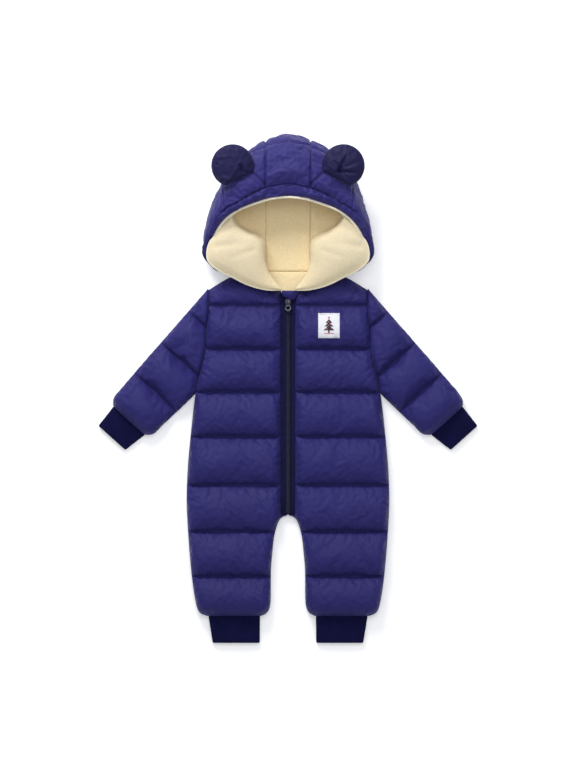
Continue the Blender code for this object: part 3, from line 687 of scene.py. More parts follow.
def sleeve_place(column, row, side):
    number, fraction = SLEEVE_ROWS[row]
    start, end = SLEEVE_LINES[number], SLEEVE_LINES[number + 1]
    along = start + fraction * (end - start)
    upper, lower = sleeve_upper(along), sleeve_lower(along)
    half = (upper - lower) / 2
    on_top = column <= UPPER_COLUMNS
    if on_top:
        across = 1 - 2 * ease(column / UPPER_COLUMNS, 0.75)
    else:
        across = -1 + 2 * ease((column - UPPER_COLUMNS) / UNDER_COLUMNS, 0.9)
    across = max(-1.0, min(1.0, across))
    rise = (1 - abs(across) ** SLEEVE_SQUARE) ** (1 / SLEEVE_SQUARE)
    place = SLEEVE_ALONG * along + SLEEVE_ACROSS * ((upper + lower) / 2 + across * half)
    spot = (side * place.x, place.y, 0.0)
    full = channel(1 - fraction) * (1 + 0.10 * wander(spot, 0.045, 6))
    loft = LINE_LOFT + PUFF * full
    loft = SLEEVE_ENDS_LOFT + (loft - SLEEVE_ENDS_LOFT) * round_up(SLEEVE_LINES[-1] - along, EDGE_ROUND)
    edge_gap = from_armhole(place.x, place.y)
    loft *= ARMHOLE_DIP + (1 - ARMHOLE_DIP) * round_up(max(edge_gap, 0.0), ARMHOLE_ROUND)
    if on_top:
        z = BACK_TOP + rise * (SEAM_GAP + loft)
    else:
        z = BACK_TOP * (1 - rise)
    sewn = fraction in (0.0, 1.0) or edge_gap < 0.001 or not on_top or column in (0, UPPER_COLUMNS)
    if not sewn:
        z += 0.0010 * wander(spot, 0.007, 7)
    return Vector((side * place.x, place.y, z)), 1.0 if sewn else 0.0


def applied(piece):
    """The piece's mesh with its modifiers made final."""
    graph = bpy.context.evaluated_depsgraph_get()
    mesh = bpy.data.meshes.new_from_object(piece.evaluated_get(graph), depsgraph=graph)
    piece.modifiers.clear()
    piece.data = mesh


ARMHOLE_STEP = 0.004
SEAM_TUCK = 0.0006  # the sleeve's seam edge is turned in under the body's
sleeves = {}
for hand, side in HANDS:
    bm = sheet_mesh(
        UPPER_COLUMNS + UNDER_COLUMNS,
        len(SLEEVE_ROWS) - 1,
        lambda i, j: sleeve_place(i, j, side),
        closed=True,
    )
    bmesh.ops.recalc_face_normals(bm, faces=bm.faces[:])
    piece = new_mesh("quilted_sleeve_" + hand, bm, shell)
    swell(piece, pressure=4.0, spare=0.035, cap=0.007)
    bm = bmesh.new()
    bm.from_mesh(piece.data)
    bmesh.ops.holes_fill(bm, edges=[e for e in bm.edges if e.is_boundary], sides=0)
    bmesh.ops.recalc_face_normals(bm, faces=bm.faces[:])
    remake(piece, bm)
    bm = bmesh.new()
    low, high = -0.075, 0.255
    count = round((high - low) / ARMHOLE_STEP)
    ys = [low + (high - low) * k / count for k in range(count + 1)]
    outline = [(side * (side_edge(min(y, SHOULDER[1])) - SEAM_TUCK), y, -0.05) for y in ys]
    outline += [(0.0, high, -0.05), (0.0, low, -0.05)]
    floor = bm.faces.new([bm.verts.new(point) for point in outline])
    raised = bmesh.ops.extrude_face_region(bm, geom=[floor])
    bmesh.ops.translate(bm, verts=points_of(raised), vec=(0, 0, 0.15))
    bmesh.ops.recalc_face_normals(bm, faces=bm.faces[:])
    knife = new_mesh("armhole_knife", bm, shell)
    cut = piece.modifiers.new("armhole", "BOOLEAN")
    cut.operation = "DIFFERENCE"
    cut.solver = "EXACT"
    cut.object = knife
    applied(piece)
    bpy.data.objects.remove(knife, do_unlink=True)
    finer = piece.modifiers.new("finer", "SUBSURF")
    finer.levels = finer.render_levels = 1
    applied(piece)
    piece.data.shade_smooth()
    piece.data.set_sharp_from_angle(angle=math.radians(60))
    wear(piece, "sleeve_" + hand)
    sleeves[hand] = piece

# ---------------------------------------------------------------------------------------------------
# Hood shell. Two side panels and a centre strip of the same quilted cloth, thinner than the body, and a
# padded brim round the face. Their seams run over the crown and down to the back neck.
HOOD_CENTRE_Y = 0.280
HOOD_STRIP = 0.038  # half the width of the centre strip
HOOD_WALL = 0.006
BRIM_WALL = 0.004
LINING_WALL = 0.003
LINING_FLOOR = HOOD_WALL + SEAM_GAP + LINING_WALL
MM = 0.001
FLOOR_STEP = 0.012
HOOD_NECK_Y = BACK_NECK_Y + 0.001
RING_ANGLES = (0, 30, 60, 90, 112, 135)


def ring_of(radii, heights, end):
    """A ring round the face opening: its radius and height at each angle from straight up, and its
    end at the neckline, in degrees and millimetres."""
    knots = [*zip(RING_ANGLES, radii, heights), end]
    knots.insert(0, (-knots[1][0], *knots[1][1:]))
    return through([(a, r) for a, r, z in knots]), through([(a, z) for a, r, z in knots]), end[0]


SHELL_RINGS = (
    ring_of((67, 71, 87, 127, 147.5, 127), (88, 88, 84, 72.4, 38, 30), (172, 107, 22)),
    ring_of((92, 92, 100, 134, 149.5, 122), (93, 93, 88, 65, 34, 28), (163, 105, 21)),
    ring_of((122, 118, 116, 137.5, 149.5, 118), (85, 85, 80, 58, 31, 26), (151, 103, 20)),
    ring_of((143, 136, 127.5, 140.5, 149, 115), (62, 62, 60, 46, 27, 22), (140, 104, 18)),
    ring_of((150, 142.5, 133, 141, 147, 112), (36, 36, 36, 32, 20, 14), (138, 101, 12)),
    ring_of((147, 139.5, 130, 137, 142, 107), (10, 10, 10, 10, 8, 5), (141, 97, 5)),
    ring_of((134, 127, 117, 124, 128, 100), (0, 0, 0, 0, 0, 0), (146, 94, 0)),
)
BRIM_RINGS = (
    ring_of((47.5, 52, 69.5, 114, 143.5, 128), (82, 82, 78, 67, 43, 38), (173.5, 110, 28)),
    ring_of((57, 61, 78, 120.3, 146, 128.5), (87, 87, 83, 72, 42, 35), (172.7, 108.7, 25.5)),
    ring_of(
        (66.6, 70.6, 86.6, 126.3, 146.8, 127.4), (88, 88, 84, 72.8, 39.5, 31.6), (172, 107.3, 23)
    ),
)


def on_ring(which, degrees):
    radius, height, _ = which
    turn = math.radians(degrees)
    r = radius(abs(degrees)) * MM
    z = height(abs(degrees)) * MM
    return Vector((r * math.sin(turn), HOOD_CENTRE_Y + r * math.cos(turn), z))


def angle_at(which, x):
    """The angle at which a ring passes this far from the hood's middle line, near its top."""
    degrees = 0.0
    for _ in range(12):
        degrees = math.degrees(math.asin(x / (which[0](degrees) * MM)))
    return degrees


def panel_grid(rings, strip, floor_z, steps):
    """A side panel's points: along each ring from the centre strip's seam to the neckline, then
    along the strip's seam on the hood's floor."""
    grid = []
    for which in rings:
        start, end = angle_at(which, strip), which[2]
        grid.append([on_ring(which, start + (end - start) * j / steps) for j in range(steps + 1)])
    first = grid[-1][0].y - FLOOR_STEP
    rise = HOOD_NECK_Y - first
    grid.append([Vector((strip, first + rise * j / steps, floor_z)) for j in range(steps + 1)])
    return grid


def strip_grid(rings, strip, floor_z, steps):
    """The centre strip's points, over the crown and down the back to the neck."""
    grid = []
    for which in rings:
        edge = angle_at(which, strip)
        grid.append([on_ring(which, edge * (2 * j / steps - 1)) for j in range(steps + 1)])
        for j, point in enumerate(grid[-1]):
            point.x = strip * (2 * j / steps - 1)
    first = grid[-1][0].y - FLOOR_STEP
    for k in range(3):
        y = first + (HOOD_NECK_Y - first) * k / 2
        grid.append([Vector((strip * (2 * j / steps - 1), y, floor_z)) for j in range(steps + 1)])
    return grid


def curve_at(points, t):
    """A point on the smooth curve through these points, t from 0 to 1 along it."""
    count = len(points) - 1
    i = min(int(t * count), count - 1)
    f = t * count - i
    a, b = points[i], points[i + 1]
    before = points[i - 1] if i > 0 else a * 2 - b
    after = points[i + 2] if i + 2 <= count else b * 2 - a
    bend = before * 2 - a * 5 + b * 4 - after
    return a + (b - before) * (f / 2) + bend * (f * f / 2) + ((a - b) * 3 + after - before) * (f**3 / 2)


def surface(grid, columns, rows):
    """A finer grid on the smooth surface through a grid of points: rows of Vectors."""
    fine = []
    across = [[curve_at(line, i / columns) for i in range(columns + 1)] for line in grid]
    for j in range(rows + 1):
        fine.append([curve_at([line[i] for line in across], j / rows) for i in range(columns + 1)])
    return fine


def facing(grid, j, i):
    """The surface's direction at a point of a grid, the way that its rows and columns turn."""
    down = grid[min(j + 1, len(grid) - 1)][i] - grid[max(j - 1, 0)][i]
    over = grid[j][min(i + 1, len(grid[0]) - 1)] - grid[j][max(i - 1, 0)]
    return over.cross(down).normalized()


PANEL_COLUMNS, PANEL_ROWS = 84, 66
STRIP_COLUMNS, STRIP_ROWS = 26, 96
HOOD_LINES = (  # the quilting on the side panels, from above: under each ear, and to the strip's seam
    ((0.109, 0.346), (0.1095, 0.310)),
    ((0.066, 0.372), (0.036, 0.345)),
    ((0.040, 0.411), (0.100, 0.388)),
)
CROWN_LINE_Y = 0.4205  # a line of stitches across the strip, a little inside the crown's edge
HOOD_LINE_HALF = 0.007
HOOD_LINE_DIP = 0.0032
HOOD_EDGE_DIP = 0.0022
HOOD_PUFF = 0.0022


def sided(point, side):
    """The point, or its mirror image on the wearer's right."""
    return Vector((side * point.x, point.y, point.z))


def set_behind(bm, columns, place):
    """Each point of a sheet keeps where its wall's other face goes, which place(i, j) gives."""
    layer = bm.verts.layers.float_vector.new("behind")
    for number, vert in enumerate(bm.verts):
        vert[layer] = place(number % (columns + 1), number // (columns + 1))


def hood_cloth(grid, behind, side, seams, lines, seed):
    """A hood panel's cloth on its own grid: pulled in at its seams and stitched lines and padded
    between them. behind is the same grid on the panel's other face."""
    rows, columns = len(grid) - 1, len(grid[0]) - 1

    def place(i, j):
        point = grid[j][i]
        seam_points = {"first": grid[j][0], "last": grid[j][columns], "brim": grid[0][i]}
        near = min((point - seam_points[seam]).length for seam in seams)
        spot = (side * point.x, point.y, point.z)
        rise = HOOD_PUFF * (1 + 0.5 * wander(spot, 0.035, seed))
        lift = -HOOD_EDGE_DIP + (rise + HOOD_EDGE_DIP) * round_up(near, 0.011)
        stitched = point.z > 0.045
        from_line = min(line_gap(point, *line)[0] for line in lines) if lines and stitched else 1.0
        lift -= (HOOD_LINE_DIP + rise) * (1 - round_up(from_line, HOOD_LINE_HALF))
        edge = i in (0, columns) or j in (0, rows)
        sewn = edge or from_line < 0.0018 or point.z < 0.006
        if not sewn:
            lift += 0.0007 * wander(spot, 0.008, seed + 1)
        if point.z < 0.006:
            lift = min(lift, 0.0)
        moved = point + facing(grid, j, i) * lift
        moved.z = max(moved.z, 0.0)
        if ("first" in seams and i == 0) or ("last" in seams and i == columns):
            moved.x = point.x
        return sided(moved, side), 1.0 if sewn else 0.0

    bm = sheet_mesh(columns, rows, place, turned=side > 0)
    set_behind(bm, columns, lambda i, j: sided(behind[j][i], side))
    return bm


def wall_from(bm):
    """The cloth made a closed wall, with its other face where its points say."""
    layer = bm.verts.layers.float_vector["behind"]
    made = bmesh.ops.extrude_face_region(bm, geom=bm.faces[:], use_keep_orig=True)
    for vert in points_of(made):
        vert.co = vert[layer]
    bmesh.ops.recalc_face_normals(bm, faces=bm.faces[:])


def wall_below(bm, thick):
    """The cloth made a closed wall this thick, straight down."""
    layer = bm.verts.layers.float_vector.new("behind")
    for vert in bm.verts:
        vert[layer] = vert.co - Vector((0, 0, thick))
    wall_from(bm)


def shifted(grid, distance):
    """The grid moved along its own direction."""
    return [
        [point + facing(grid, j, i) * distance for i, point in enumerate(line)]
        for j, line in enumerate(grid)
    ]


def level_floor(grid, height):
    """The grid with no point lower than this."""
    return [[Vector((p.x, p.y, max(p.z, height))) for p in line] for line in grid]


def keep_seam(grid, column, x):
    for line in grid:
        line[column].x = x
    return grid


# Painted light: a lighter copy of the body's shell cloth for the hood, its brim and seam allowances and the
# chin guard, which are of the same cloth.
hood_shell_painted_light = shell_finish("hood_cloth", (0.0175, 0.0145, 0.108, 1.0), (0.0250, 0.0205, 0.142, 1.0))
seam_x = HOOD_STRIP + SEAM_GAP / 2
side_panel = surface(panel_grid(SHELL_RINGS, seam_x, 0.0, 13), PANEL_COLUMNS, PANEL_ROWS)
side_inner = keep_seam(level_floor(shifted(side_panel, -HOOD_WALL), HOOD_WALL * 0.9), 0, seam_x)
for hand, side in HANDS:
    bm = hood_cloth(side_panel, side_inner, side, ("first", "brim"), HOOD_LINES, 10 + side)
    piece = padded_piece(
        "hood_side_" + hand, bm, hood_shell_painted_light, wall_from, pressure=1.6, spare=0.045, cap=0.004
    )
    wear(piece, "hood_" + hand)

strip_x = HOOD_STRIP - SEAM_GAP / 2
strip = surface(strip_grid(SHELL_RINGS, strip_x, 0.0, 2), STRIP_COLUMNS, STRIP_ROWS)
strip_inner = level_floor(shifted(strip, -HOOD_WALL), HOOD_WALL * 0.9)
keep_seam(keep_seam(strip_inner, 0, -strip_x), STRIP_COLUMNS, strip_x)
crown_side_y = CROWN_LINE_Y - 0.006
crown = (
    ((-HOOD_STRIP, crown_side_y), (0.0, CROWN_LINE_Y)),
    ((0.0, CROWN_LINE_Y), (HOOD_STRIP, crown_side_y)),
)
bm = hood_cloth(strip, strip_inner, 1, ("first", "last", "brim"), crown, 21)
hood_strip = padded_piece(
    "hood_strip", bm, hood_shell_painted_light, wall_from, pressure=1.4, spare=0.05, cap=0.0032
)
wear(hood_strip, "hood_center")

BRIM_COLUMNS, BRIM_ROWS = 210, 12
BRIM_PUFF = 0.0026
start, end = angle_at(SHELL_RINGS[0], seam_x), SHELL_RINGS[0][2]
half_angles = [start + (end - start) * j / 13 for j in range(14)]
brim_angles = [-a for a in half_angles[::-1]] + [0.0] + half_angles
brim_grid = surface(
    [[on_ring(which, angle) for angle in brim_angles] for which in BRIM_RINGS[::-1]],
    BRIM_COLUMNS,
    BRIM_ROWS,
)
brim_inner = shifted(brim_grid, BRIM_WALL)


def brim_place(i, j):
    point = brim_grid[j][i]
    near = min((point - brim_grid[0][i]).length, (point - brim_grid[BRIM_ROWS][i]).length * 1.4)
    lift = -0.0012 + (BRIM_PUFF + 0.0012) * round_up(near, 0.008)
    edge = i in (0, BRIM_COLUMNS) or j in (0, BRIM_ROWS)
    if not edge:
        lift += 0.0008 * wander(point, 0.008, 31)
    return point - facing(brim_grid, j, i) * lift, 1.0 if edge else 0.0


bm = sheet_mesh(BRIM_COLUMNS, BRIM_ROWS, brim_place)
set_behind(bm, BRIM_COLUMNS, lambda i, j: brim_inner[j][i])
brim = padded_piece("hood_brim", bm, hood_shell_painted_light, wall_from, pressure=1.6, spare=0.08, cap=0.0035)
wear(brim, "brim")


def rolled(points, radius):
    """Cloth rolled into a thin tube along these points."""
    curve = bpy.data.curves.new("roll", "CURVE")
    curve.dimensions = "3D"
    curve.bevel_depth = radius
    curve.bevel_resolution = 4
    curve.use_fill_caps = True
    spline = curve.splines.new("POLY")
    spline.points.add(len(points) - 1)
    for knot, point in zip(spline.points, points):
        knot.co = (*point, 1.0)
    holder = bpy.data.objects.new("roll", curve)
    scene.collection.objects.link(holder)
    bm = bmesh.new()
    bm.from_mesh(bpy.data.meshes.new_from_object(holder))
    bpy.data.objects.remove(holder, do_unlink=True)
    bmesh.ops.remove_doubles(bm, verts=bm.verts[:], dist=0.00001)
    bmesh.ops.recalc_face_normals(bm, faces=bm.faces[:])
    return bm


# The seam allowances, turned in under the brim's seam and the strip's two.
ALLOWANCE = 0.0023
ALLOWANCE_DOWN = 0.0044
RIM_STEPS = 260
inset_strip = shifted(strip, -ALLOWANCE_DOWN)
strip_seams = [[line[i] for line in inset_strip[4::3]] for i in (0, STRIP_COLUMNS)]
turns = [end * (2 * k / RIM_STEPS - 1) for k in range(RIM_STEPS + 1)]
brim_seam = [on_ring(SHELL_RINGS[0], turn) - Vector((0, 0, ALLOWANCE_DOWN)) for turn in turns]
for name, line in (("brim", brim_seam), ("strip_right", strip_seams[0]), ("strip_left", strip_seams[1])):
    for point in line:
        point.z = max(point.z, ALLOWANCE + SEAM_GAP)
    piece = new_mesh("seam_allowance_" + name, rolled(line, ALLOWANCE), hood_shell_painted_light)
    length = sum((b - a).length for a, b in zip(line, line[1:]))
    attach(piece)

# ---------------------------------------------------------------------------------------------------
# Ears. Each is two rounds of the shell cloth sewn edge to edge, stuffed, and sewn to the hood along one
# straight side. One has a pinch in its front and the other a star of folds, where the stuffing pulls.
EAR_RADIUS = 0.0362
EAR_CHORD = 0.0245
EAR_THICK = 0.0280
EAR_CENTRE = Vector((0.0935, 0.379, 0.0935))
EAR_TILT = 0.1
EAR_SEAM_WAY = Vector((-0.883, 0.469, 0.0))
EAR_OUT = Vector((0.469, 0.883, 0.0))
EAR_CROWN = 2.0
EAR_PRESS = 0.6
EAR_FOLDS = {  # lines from above, as (start, end, half width, depth)
    "left": (
        ((0.0860, 0.3700), (0.1020, 0.4010), 0.0028, 0.0040),
        ((0.0880, 0.3690), (0.1215, 0.3655), 0.0026, 0.0042),
        ((0.0900, 0.3740), (0.0760, 0.3880), 0.0024, 0.0022),
        ((0.0900, 0.3690), (0.1080, 0.3500), 0.0030, 0.0020),
        ((0.0960, 0.3760), (0.1180, 0.3860), 0.0030, 0.0014),
    ),
    "right": (
        ((-0.0800, 0.3790), (-0.0745, 0.3650), 0.0030, 0.0040),
        ((-0.0790, 0.3740), (-0.0940, 0.3560), 0.0036, 0.0022),
        ((-0.0770, 0.3700), (-0.0640, 0.3600), 0.0030, 0.0020),
    ),
}

# Painted shade: a darker copy of the shell cloth for the ears, which are of the same cloth as the hood.
ear_shell_painted_shade = shell_finish("ear_cloth_painted_shade", (0.0045, 0.0035, 0.036, 1.0), (0.0080, 0.0064, 0.054, 1.0))
for hand, side in HANDS:
    bm = bmesh.new()
    bmesh.ops.create_uvsphere(bm, u_segments=72, v_segments=36, radius=1.0)
    sewn = bm.verts.layers.float.new("sewn")
    for vert in bm.verts:
        share = min(1.0, math.hypot(vert.co.x, vert.co.y))
        turn = math.atan2(vert.co.y, vert.co.x)
        above = vert.co.z >= 0
        along = EAR_RADIUS * math.sin(turn)
        out = max(EAR_RADIUS * math.cos(turn), -EAR_CHORD)
        pressed = 1.0 if above else 1 - EAR_PRESS * max(0.0, -out * share / EAR_CHORD)
        rise = EAR_THICK / 2 * math.sqrt(max(0.0, 1 - share**EAR_CROWN)) * pressed
        place = EAR_CENTRE + (EAR_SEAM_WAY * along + EAR_OUT * out) * share
        z = place.z + (rise if above else -rise) + EAR_TILT * out * share
        spot = (side * place.x, place.y, z)
        near_seam = out * share < -0.8 * EAR_CHORD
        vert[sewn] = 1.0 if share > 0.985 or near_seam else 0.0
        if above:
            sunk = sum(trough(spot, *fold) for fold in EAR_FOLDS[hand]) * min(1.0, (1 - share) * 5)
            vert[sewn] = max(vert[sewn], min(1.0, sunk / 0.0022))
            z -= 1.35 * sunk
        if share < 0.98:
            z += 0.0006 * wander(spot, 0.010, 41 + side)
        vert.co = (side * place.x, place.y, z)
    bmesh.ops.recalc_face_normals(bm, faces=bm.faces[:])
    ear = new_mesh("stuffed_ear_" + hand, bm, ear_shell_painted_shade)
    swell(ear, pressure=1.2, spare=0.02, cap=0.0022, frames=12)
    remake(ear, smoother(ear))
    wear(ear, "ear_" + hand)

# ---------------------------------------------------------------------------------------------------
# Hood lining and back-neck lining. Short cream fleece in three pieces, sewn to the shell round the face,
# where its turned edge shows as a rim with a painted highlight, and a fourth on the back below the neck
# seam.
LINING_RINGS = (
    ring_of((45.5, 50, 67.5, 112, 149.5, 130), (73, 73, 69, 60.5, 61.5, 50), (174, 111.5, 36)),
    ring_of((62, 66, 82, 104, 130, 112), (72, 72, 68, 64, 66, 58), (173.5, 110, 40)),
    ring_of((105, 102, 98, 93, 100, 88), (75, 75, 70, 63, 66, 60), (173, 108, 40)),
    ring_of((131, 123, 112, 85, 64, 62), (56, 56, 55, 54, 58, 53), (172, 105, 38)),
    ring_of((133, 125, 114, 80, 55, 55), (30, 30, 30, 36, 42, 38), (166, 100, 30)),
    ring_of((122, 115, 104, 72, 50, 53), (12, 12, 12, 14, 18, 18), (160, 95, 18)),
)
LINING_COLUMNS, LINING_ROWS = 120, 104
LINING_STRIP_COLUMNS, LINING_STRIP_ROWS = 40, 130
PILE = 0.00028
RIM_WIDTH = 0.0045
RIM_RISE = 0.0016
FOLD_DEPTH = 0.0030
LINING_FOLDS = (  # soft folds in each side lobe, from above, as (start, end, half width, depth)
    ((0.128, 0.262), (0.074, 0.283), 0.0065, FOLD_DEPTH),
    ((0.122, 0.243), (0.070, 0.250), 0.0060, 0.8 * FOLD_DEPTH),
    ((0.097, 0.299), (0.060, 0.262), 0.0060, 0.9 * FOLD_DEPTH),
    ((0.060, 0.236), (0.100, 0.222), 0.0050, 0.5 * FOLD_DEPTH),
    ((0.088, 0.318), (0.047, 0.296), 0.0060, 0.7 * FOLD_DEPTH),
)

# Short curly pile: tufts, and how deep the gaps between them are, for painted shade in the gaps.
pile, taken, given = pattern(
    "curly_pile", {"Place": "Vector", "Scale": "Float"}, {"Height": "Float", "Gap": "Float"}
)
curls = noise_of(pile, taken["Place"], taken["Scale"], detail=3.0, distortion=1.4)
tufts = add_node(
    pile,
    "ShaderNodeTexVoronoi",
    feature="SMOOTH_F1",
    Vector=taken["Place"],
    Scale=calc(pile, "MULTIPLY", taken["Scale"], 1.3),
)
rising = calc(pile, "SUBTRACT", 1.0, tufts.outputs["Distance"])
stood = calc(pile, "MULTIPLY_ADD", curls, 0.6, calc(pile, "MULTIPLY", rising, 0.4))
pile.links.new(stood, given["Height"])
pile.links.new(ranged(pile, stood, 0.62, 0.38), given["Gap"])

# The fleece's own colour, then painted light: a warmer, brighter colour low down for bounce light in the
# hood's depth, a painted highlight along the turned rim, and painted shade in the gaps between tufts.
FLEECE_LIGHT = (0.700, 0.615, 0.445, 1.0)
FLEECE_BOUNCE_LIT = (0.900, 0.750, 0.460, 1.0)
FLEECE_RIM_HIGHLIGHT = (0.93, 0.87, 0.70, 1.0)
FLEECE_GAP_SHADE = (0.42, 0.33, 0.19, 1.0)
BOUNCE_LIT_Z = (0.078, 0.030)  # the heights where the painted bounce light, warmer and brighter low down, starts and is full
fleece, tree, shader = new_material("cream_fleece", 0.95, sheen=0.25)
place = object_place(tree)
tufted = placed(tree, pile, Place=place, Scale=430.0)
height = add_node(tree, "ShaderNodeSeparateXYZ", Vector=place).outputs[2]
# Painted bounce light: the fleece turns warmer and brighter below the first of these heights.
bounce_lit_tone = mixed(tree, ranged(tree, height, *BOUNCE_LIT_Z), FLEECE_LIGHT, FLEECE_BOUNCE_LIT)
# Painted highlight along the lining's turned edge, where the rim mark is high.
edge = add_node(tree, "ShaderNodeAttribute", attribute_name="rim").outputs["Fac"]
rim_highlit_tone = mixed(tree, edge, bounce_lit_tone, FLEECE_RIM_HIGHLIGHT)
# Painted shade in the gaps between the tufts.
shaded = calc(tree, "MULTIPLY", tufted["Gap"], 0.22)
tree.links.new(mixed(tree, shaded, rim_highlit_tone, FLEECE_GAP_SHADE), shader.inputs["Base Color"])
bump(tree, shader, (tufted["Height"], 0.0006, 0.45))


def fleece_cloth(grid, side, folds, seams, seed):
    """A piece of the lining on its grid, with its pile, its folds and the turned edge at the rim."""
    rows, columns = len(grid) - 1, len(grid[0]) - 1
    behind = shifted(grid, LINING_WALL)

    def place(i, j):
        point = grid[j][i]
        spot = (side * point.x, point.y, point.z)
        from_rim = (point - grid[0][i]).length
        lift = RIM_RISE * (1 - round_up(from_rim, RIM_WIDTH)) * (j > 0)
        lift += 0.0016 * wander(spot, 0.040, seed) * min(1.0, from_rim / 0.015)
        lift -= sum(trough(spot[:2] if side > 0 else (-spot[0], spot[1]), *fold) for fold in folds)
        near = 1.0
        if "first" in seams:
            near = min(near, (point - grid[j][0]).length)
        if "last" in seams:
            near = min(near, (point - grid[j][columns]).length)
        lift -= 0.0011 * (1 - round_up(near, 0.0055))
        lift += PILE * (wander(spot, 0.0028, seed + 1) + 0.7 * wander(spot, 0.0013, seed + 2))
        moved = point - facing(grid, j, i) * lift
        if ("first" in seams and i == 0) or ("last" in seams and i == columns):
            moved.x = point.x
        # The second value marks how near the rim a point is; the fleece paints a highlight there.
        return sided(moved, side), max(0.0, 1 - from_rim / RIM_WIDTH)

    bm = sheet_mesh(columns, rows, place, turned=side < 0)
    set_behind(bm, columns, lambda i, j: sided(behind[j][i], side))
    wall_from(bm)
    return bm


lobe = surface(panel_grid(LINING_RINGS, HOOD_STRIP, LINING_FLOOR, 13), LINING_COLUMNS, LINING_ROWS)
for hand, side in HANDS:
    bm = fleece_cloth(lobe, side, LINING_FOLDS, ("first",), 50 + 3 * side)
    piece = cloth_piece("fleece_side_" + hand, bm, fleece, rim=True)
    wear(piece, "hood_lining_" + hand)
middle = surface(
    strip_grid(LINING_RINGS, HOOD_STRIP, LINING_FLOOR, 2), LINING_STRIP_COLUMNS, LINING_STRIP_ROWS
)
STRIP_FOLDS = (
    ((0.012, 0.345), (0.006, 0.262), 0.006, 0.0018),
    ((-0.020, 0.335), (-0.012, 0.270), 0.006, 0.0014),
    ((0.024, 0.300), (0.020, 0.225), 0.005, 0.0014),
)
bm = fleece_cloth(middle, 1, STRIP_FOLDS, ("first", "last"), 61)
fleece_strip = cloth_piece("fleece_strip", bm, fleece, rim=True)
wear(fleece_strip, "hood_lining_center")

# The lining's turned edge, rolled round the face inside the brim.
RIM_ROLL = 0.0024
RIM_IN, RIM_DOWN = 0.0010, 0.0032
rim_line = []
for k in range(RIM_STEPS + 1):
    edge = on_ring(BRIM_RINGS[0], BRIM_RINGS[0][2] * (2 * k / RIM_STEPS - 1))
    inward = Vector((-edge.x, HOOD_CENTRE_Y - edge.y, 0.0)).normalized()
    rim_line.append(edge + inward * RIM_IN - Vector((0, 0, RIM_DOWN)))
bm = rolled(rim_line, RIM_ROLL)
bm.normal_update()
# Every point of the roll is marked as rim, so it all takes the painted highlight.
sewn = bm.verts.layers.float.new("sewn")
for vert in bm.verts:
    vert[sewn] = 1.0
    vert.co += vert.normal * PILE * 1.4 * wander(vert.co, 0.0026, 66)
rim_roll = cloth_piece("fleece_rim", bm, fleece, rim=True)
attach(rim_roll)

NECK_LINING = through([(0.150, 0.0115), (0.166, 0.0115), (0.1790, 0.0225), (0.2004, 0.0350)])
NECK_LINING_THICK = 0.0025
NECK_COLUMNS, NECK_ROWS = 36, 30
NECK_LOW, NECK_HIGH = 0.150, 0.2004


def neck_place(i, j):
    y = NECK_LOW + (NECK_HIGH - NECK_LOW) * j / NECK_ROWS
    x = NECK_LINING(y) * (2 * i / NECK_COLUMNS - 1)
    pile = PILE * (wander((x, y, 0), 0.0028, 71) + 0.7 * wander((x, y, 0), 0.0013, 72))
    sag = 0.0009 * (1 - round_up(NECK_HIGH - y, 0.006))
    return Vector((x, y, FRONT_BOTTOM + NECK_LINING_THICK + pile - sag)), 0.0


bm = sheet_mesh(NECK_COLUMNS, NECK_ROWS, neck_place)
close_below(bm, FRONT_BOTTOM)
piece = cloth_piece("fleece_neck", bm, fleece, rim=True)
wear(piece, "neck_lining")

# ---------------------------------------------------------------------------------------------------
# Cuffs and ankle ribs. Tubes of double rib knit, stretched as they are sewn to the sleeve and leg ends,
# with a folded open end. The ribs run along the limb.
OVAL_POWER = 0.6
KNIT_WALL = 0.0030
RIB_DEEP = 0.00075
RIB_POINTS = 6
RIB_ROWS = 30
STITCH_LONG = 0.0016
RIB_TUCK = 0.0020  # how far the sewn end is turned up inside the sleeve or leg
CUFF_SIZE = ((0.0365, 0.0125), (0.0312, 0.0105))
ANKLE_SIZE = ((0.0445, 0.0125), (0.0405, 0.0115))
CUFF_ENDS = ((SLEEVE_LINES[-1] - RIB_TUCK, 0.1655), (0.2610, 0.1678))
ANKLE_ENDS = ((0.0915, HEM_Y + RIB_TUCK), (0.0880, -0.430))

# Knitted loops: two slanting strands in each wale, one pair for each course.
loops, taken, given = pattern(
    "knitted_loops", {"Wale": "Float", "Course": "Float"}, {"Height": "Float", "Shade": "Float"}
)
across = calc(loops, "ABSOLUTE", calc(loops, "SUBTRACT", calc(loops, "FRACT", taken["Wale"]), 0.5))
slanted = calc(loops, "MULTIPLY_ADD", across, 1.4, taken["Course"])
strand = ribs_of(loops, slanted)
valley = calc(loops, "SMOOTH_MIN", calc(loops, "MULTIPLY", across, 9.0), 1.0, 0.3)
loop_height = calc(loops, "MULTIPLY", strand, valley)
loops.links.new(loop_height, given["Height"])
loops.links.new(calc(loops, "SUBTRACT", 1.0, loop_height), given["Shade"])

KNIT_LIGHT, KNIT_DARK = (0.0075, 0.0080, 0.072, 1.0), (0.0030, 0.0034, 0.034, 1.0)
KNIT_STRAND_SHADE = (0.002, 0.002, 0.014, 1.0)
knit, tree, shader = new_material("rib_knit", 0.85, sheen=0.03)
shader.inputs["Specular IOR Level"].default_value = 0.10
wale = add_node(tree, "ShaderNodeAttribute", attribute_name="wale").outputs["Fac"]
course = add_node(tree, "ShaderNodeAttribute", attribute_name="course").outputs["Fac"]
looped = placed(tree, loops, Wale=wale, Course=course)
tones = placed(
    tree, uneven, Place=object_place(tree), Dark=KNIT_DARK, Light=KNIT_LIGHT, Broad=40.0, Fine=1600.0
)
# Painted shade between the knitted strands.
strand_shade_share = calc(tree, "MULTIPLY", looped["Shade"], 0.45)
tree.links.new(mixed(tree, strand_shade_share, tones["Colour"], KNIT_STRAND_SHADE), shader.inputs["Base Color"])
bump(tree, shader, (looped["Height"], 0.00035, 0.7))


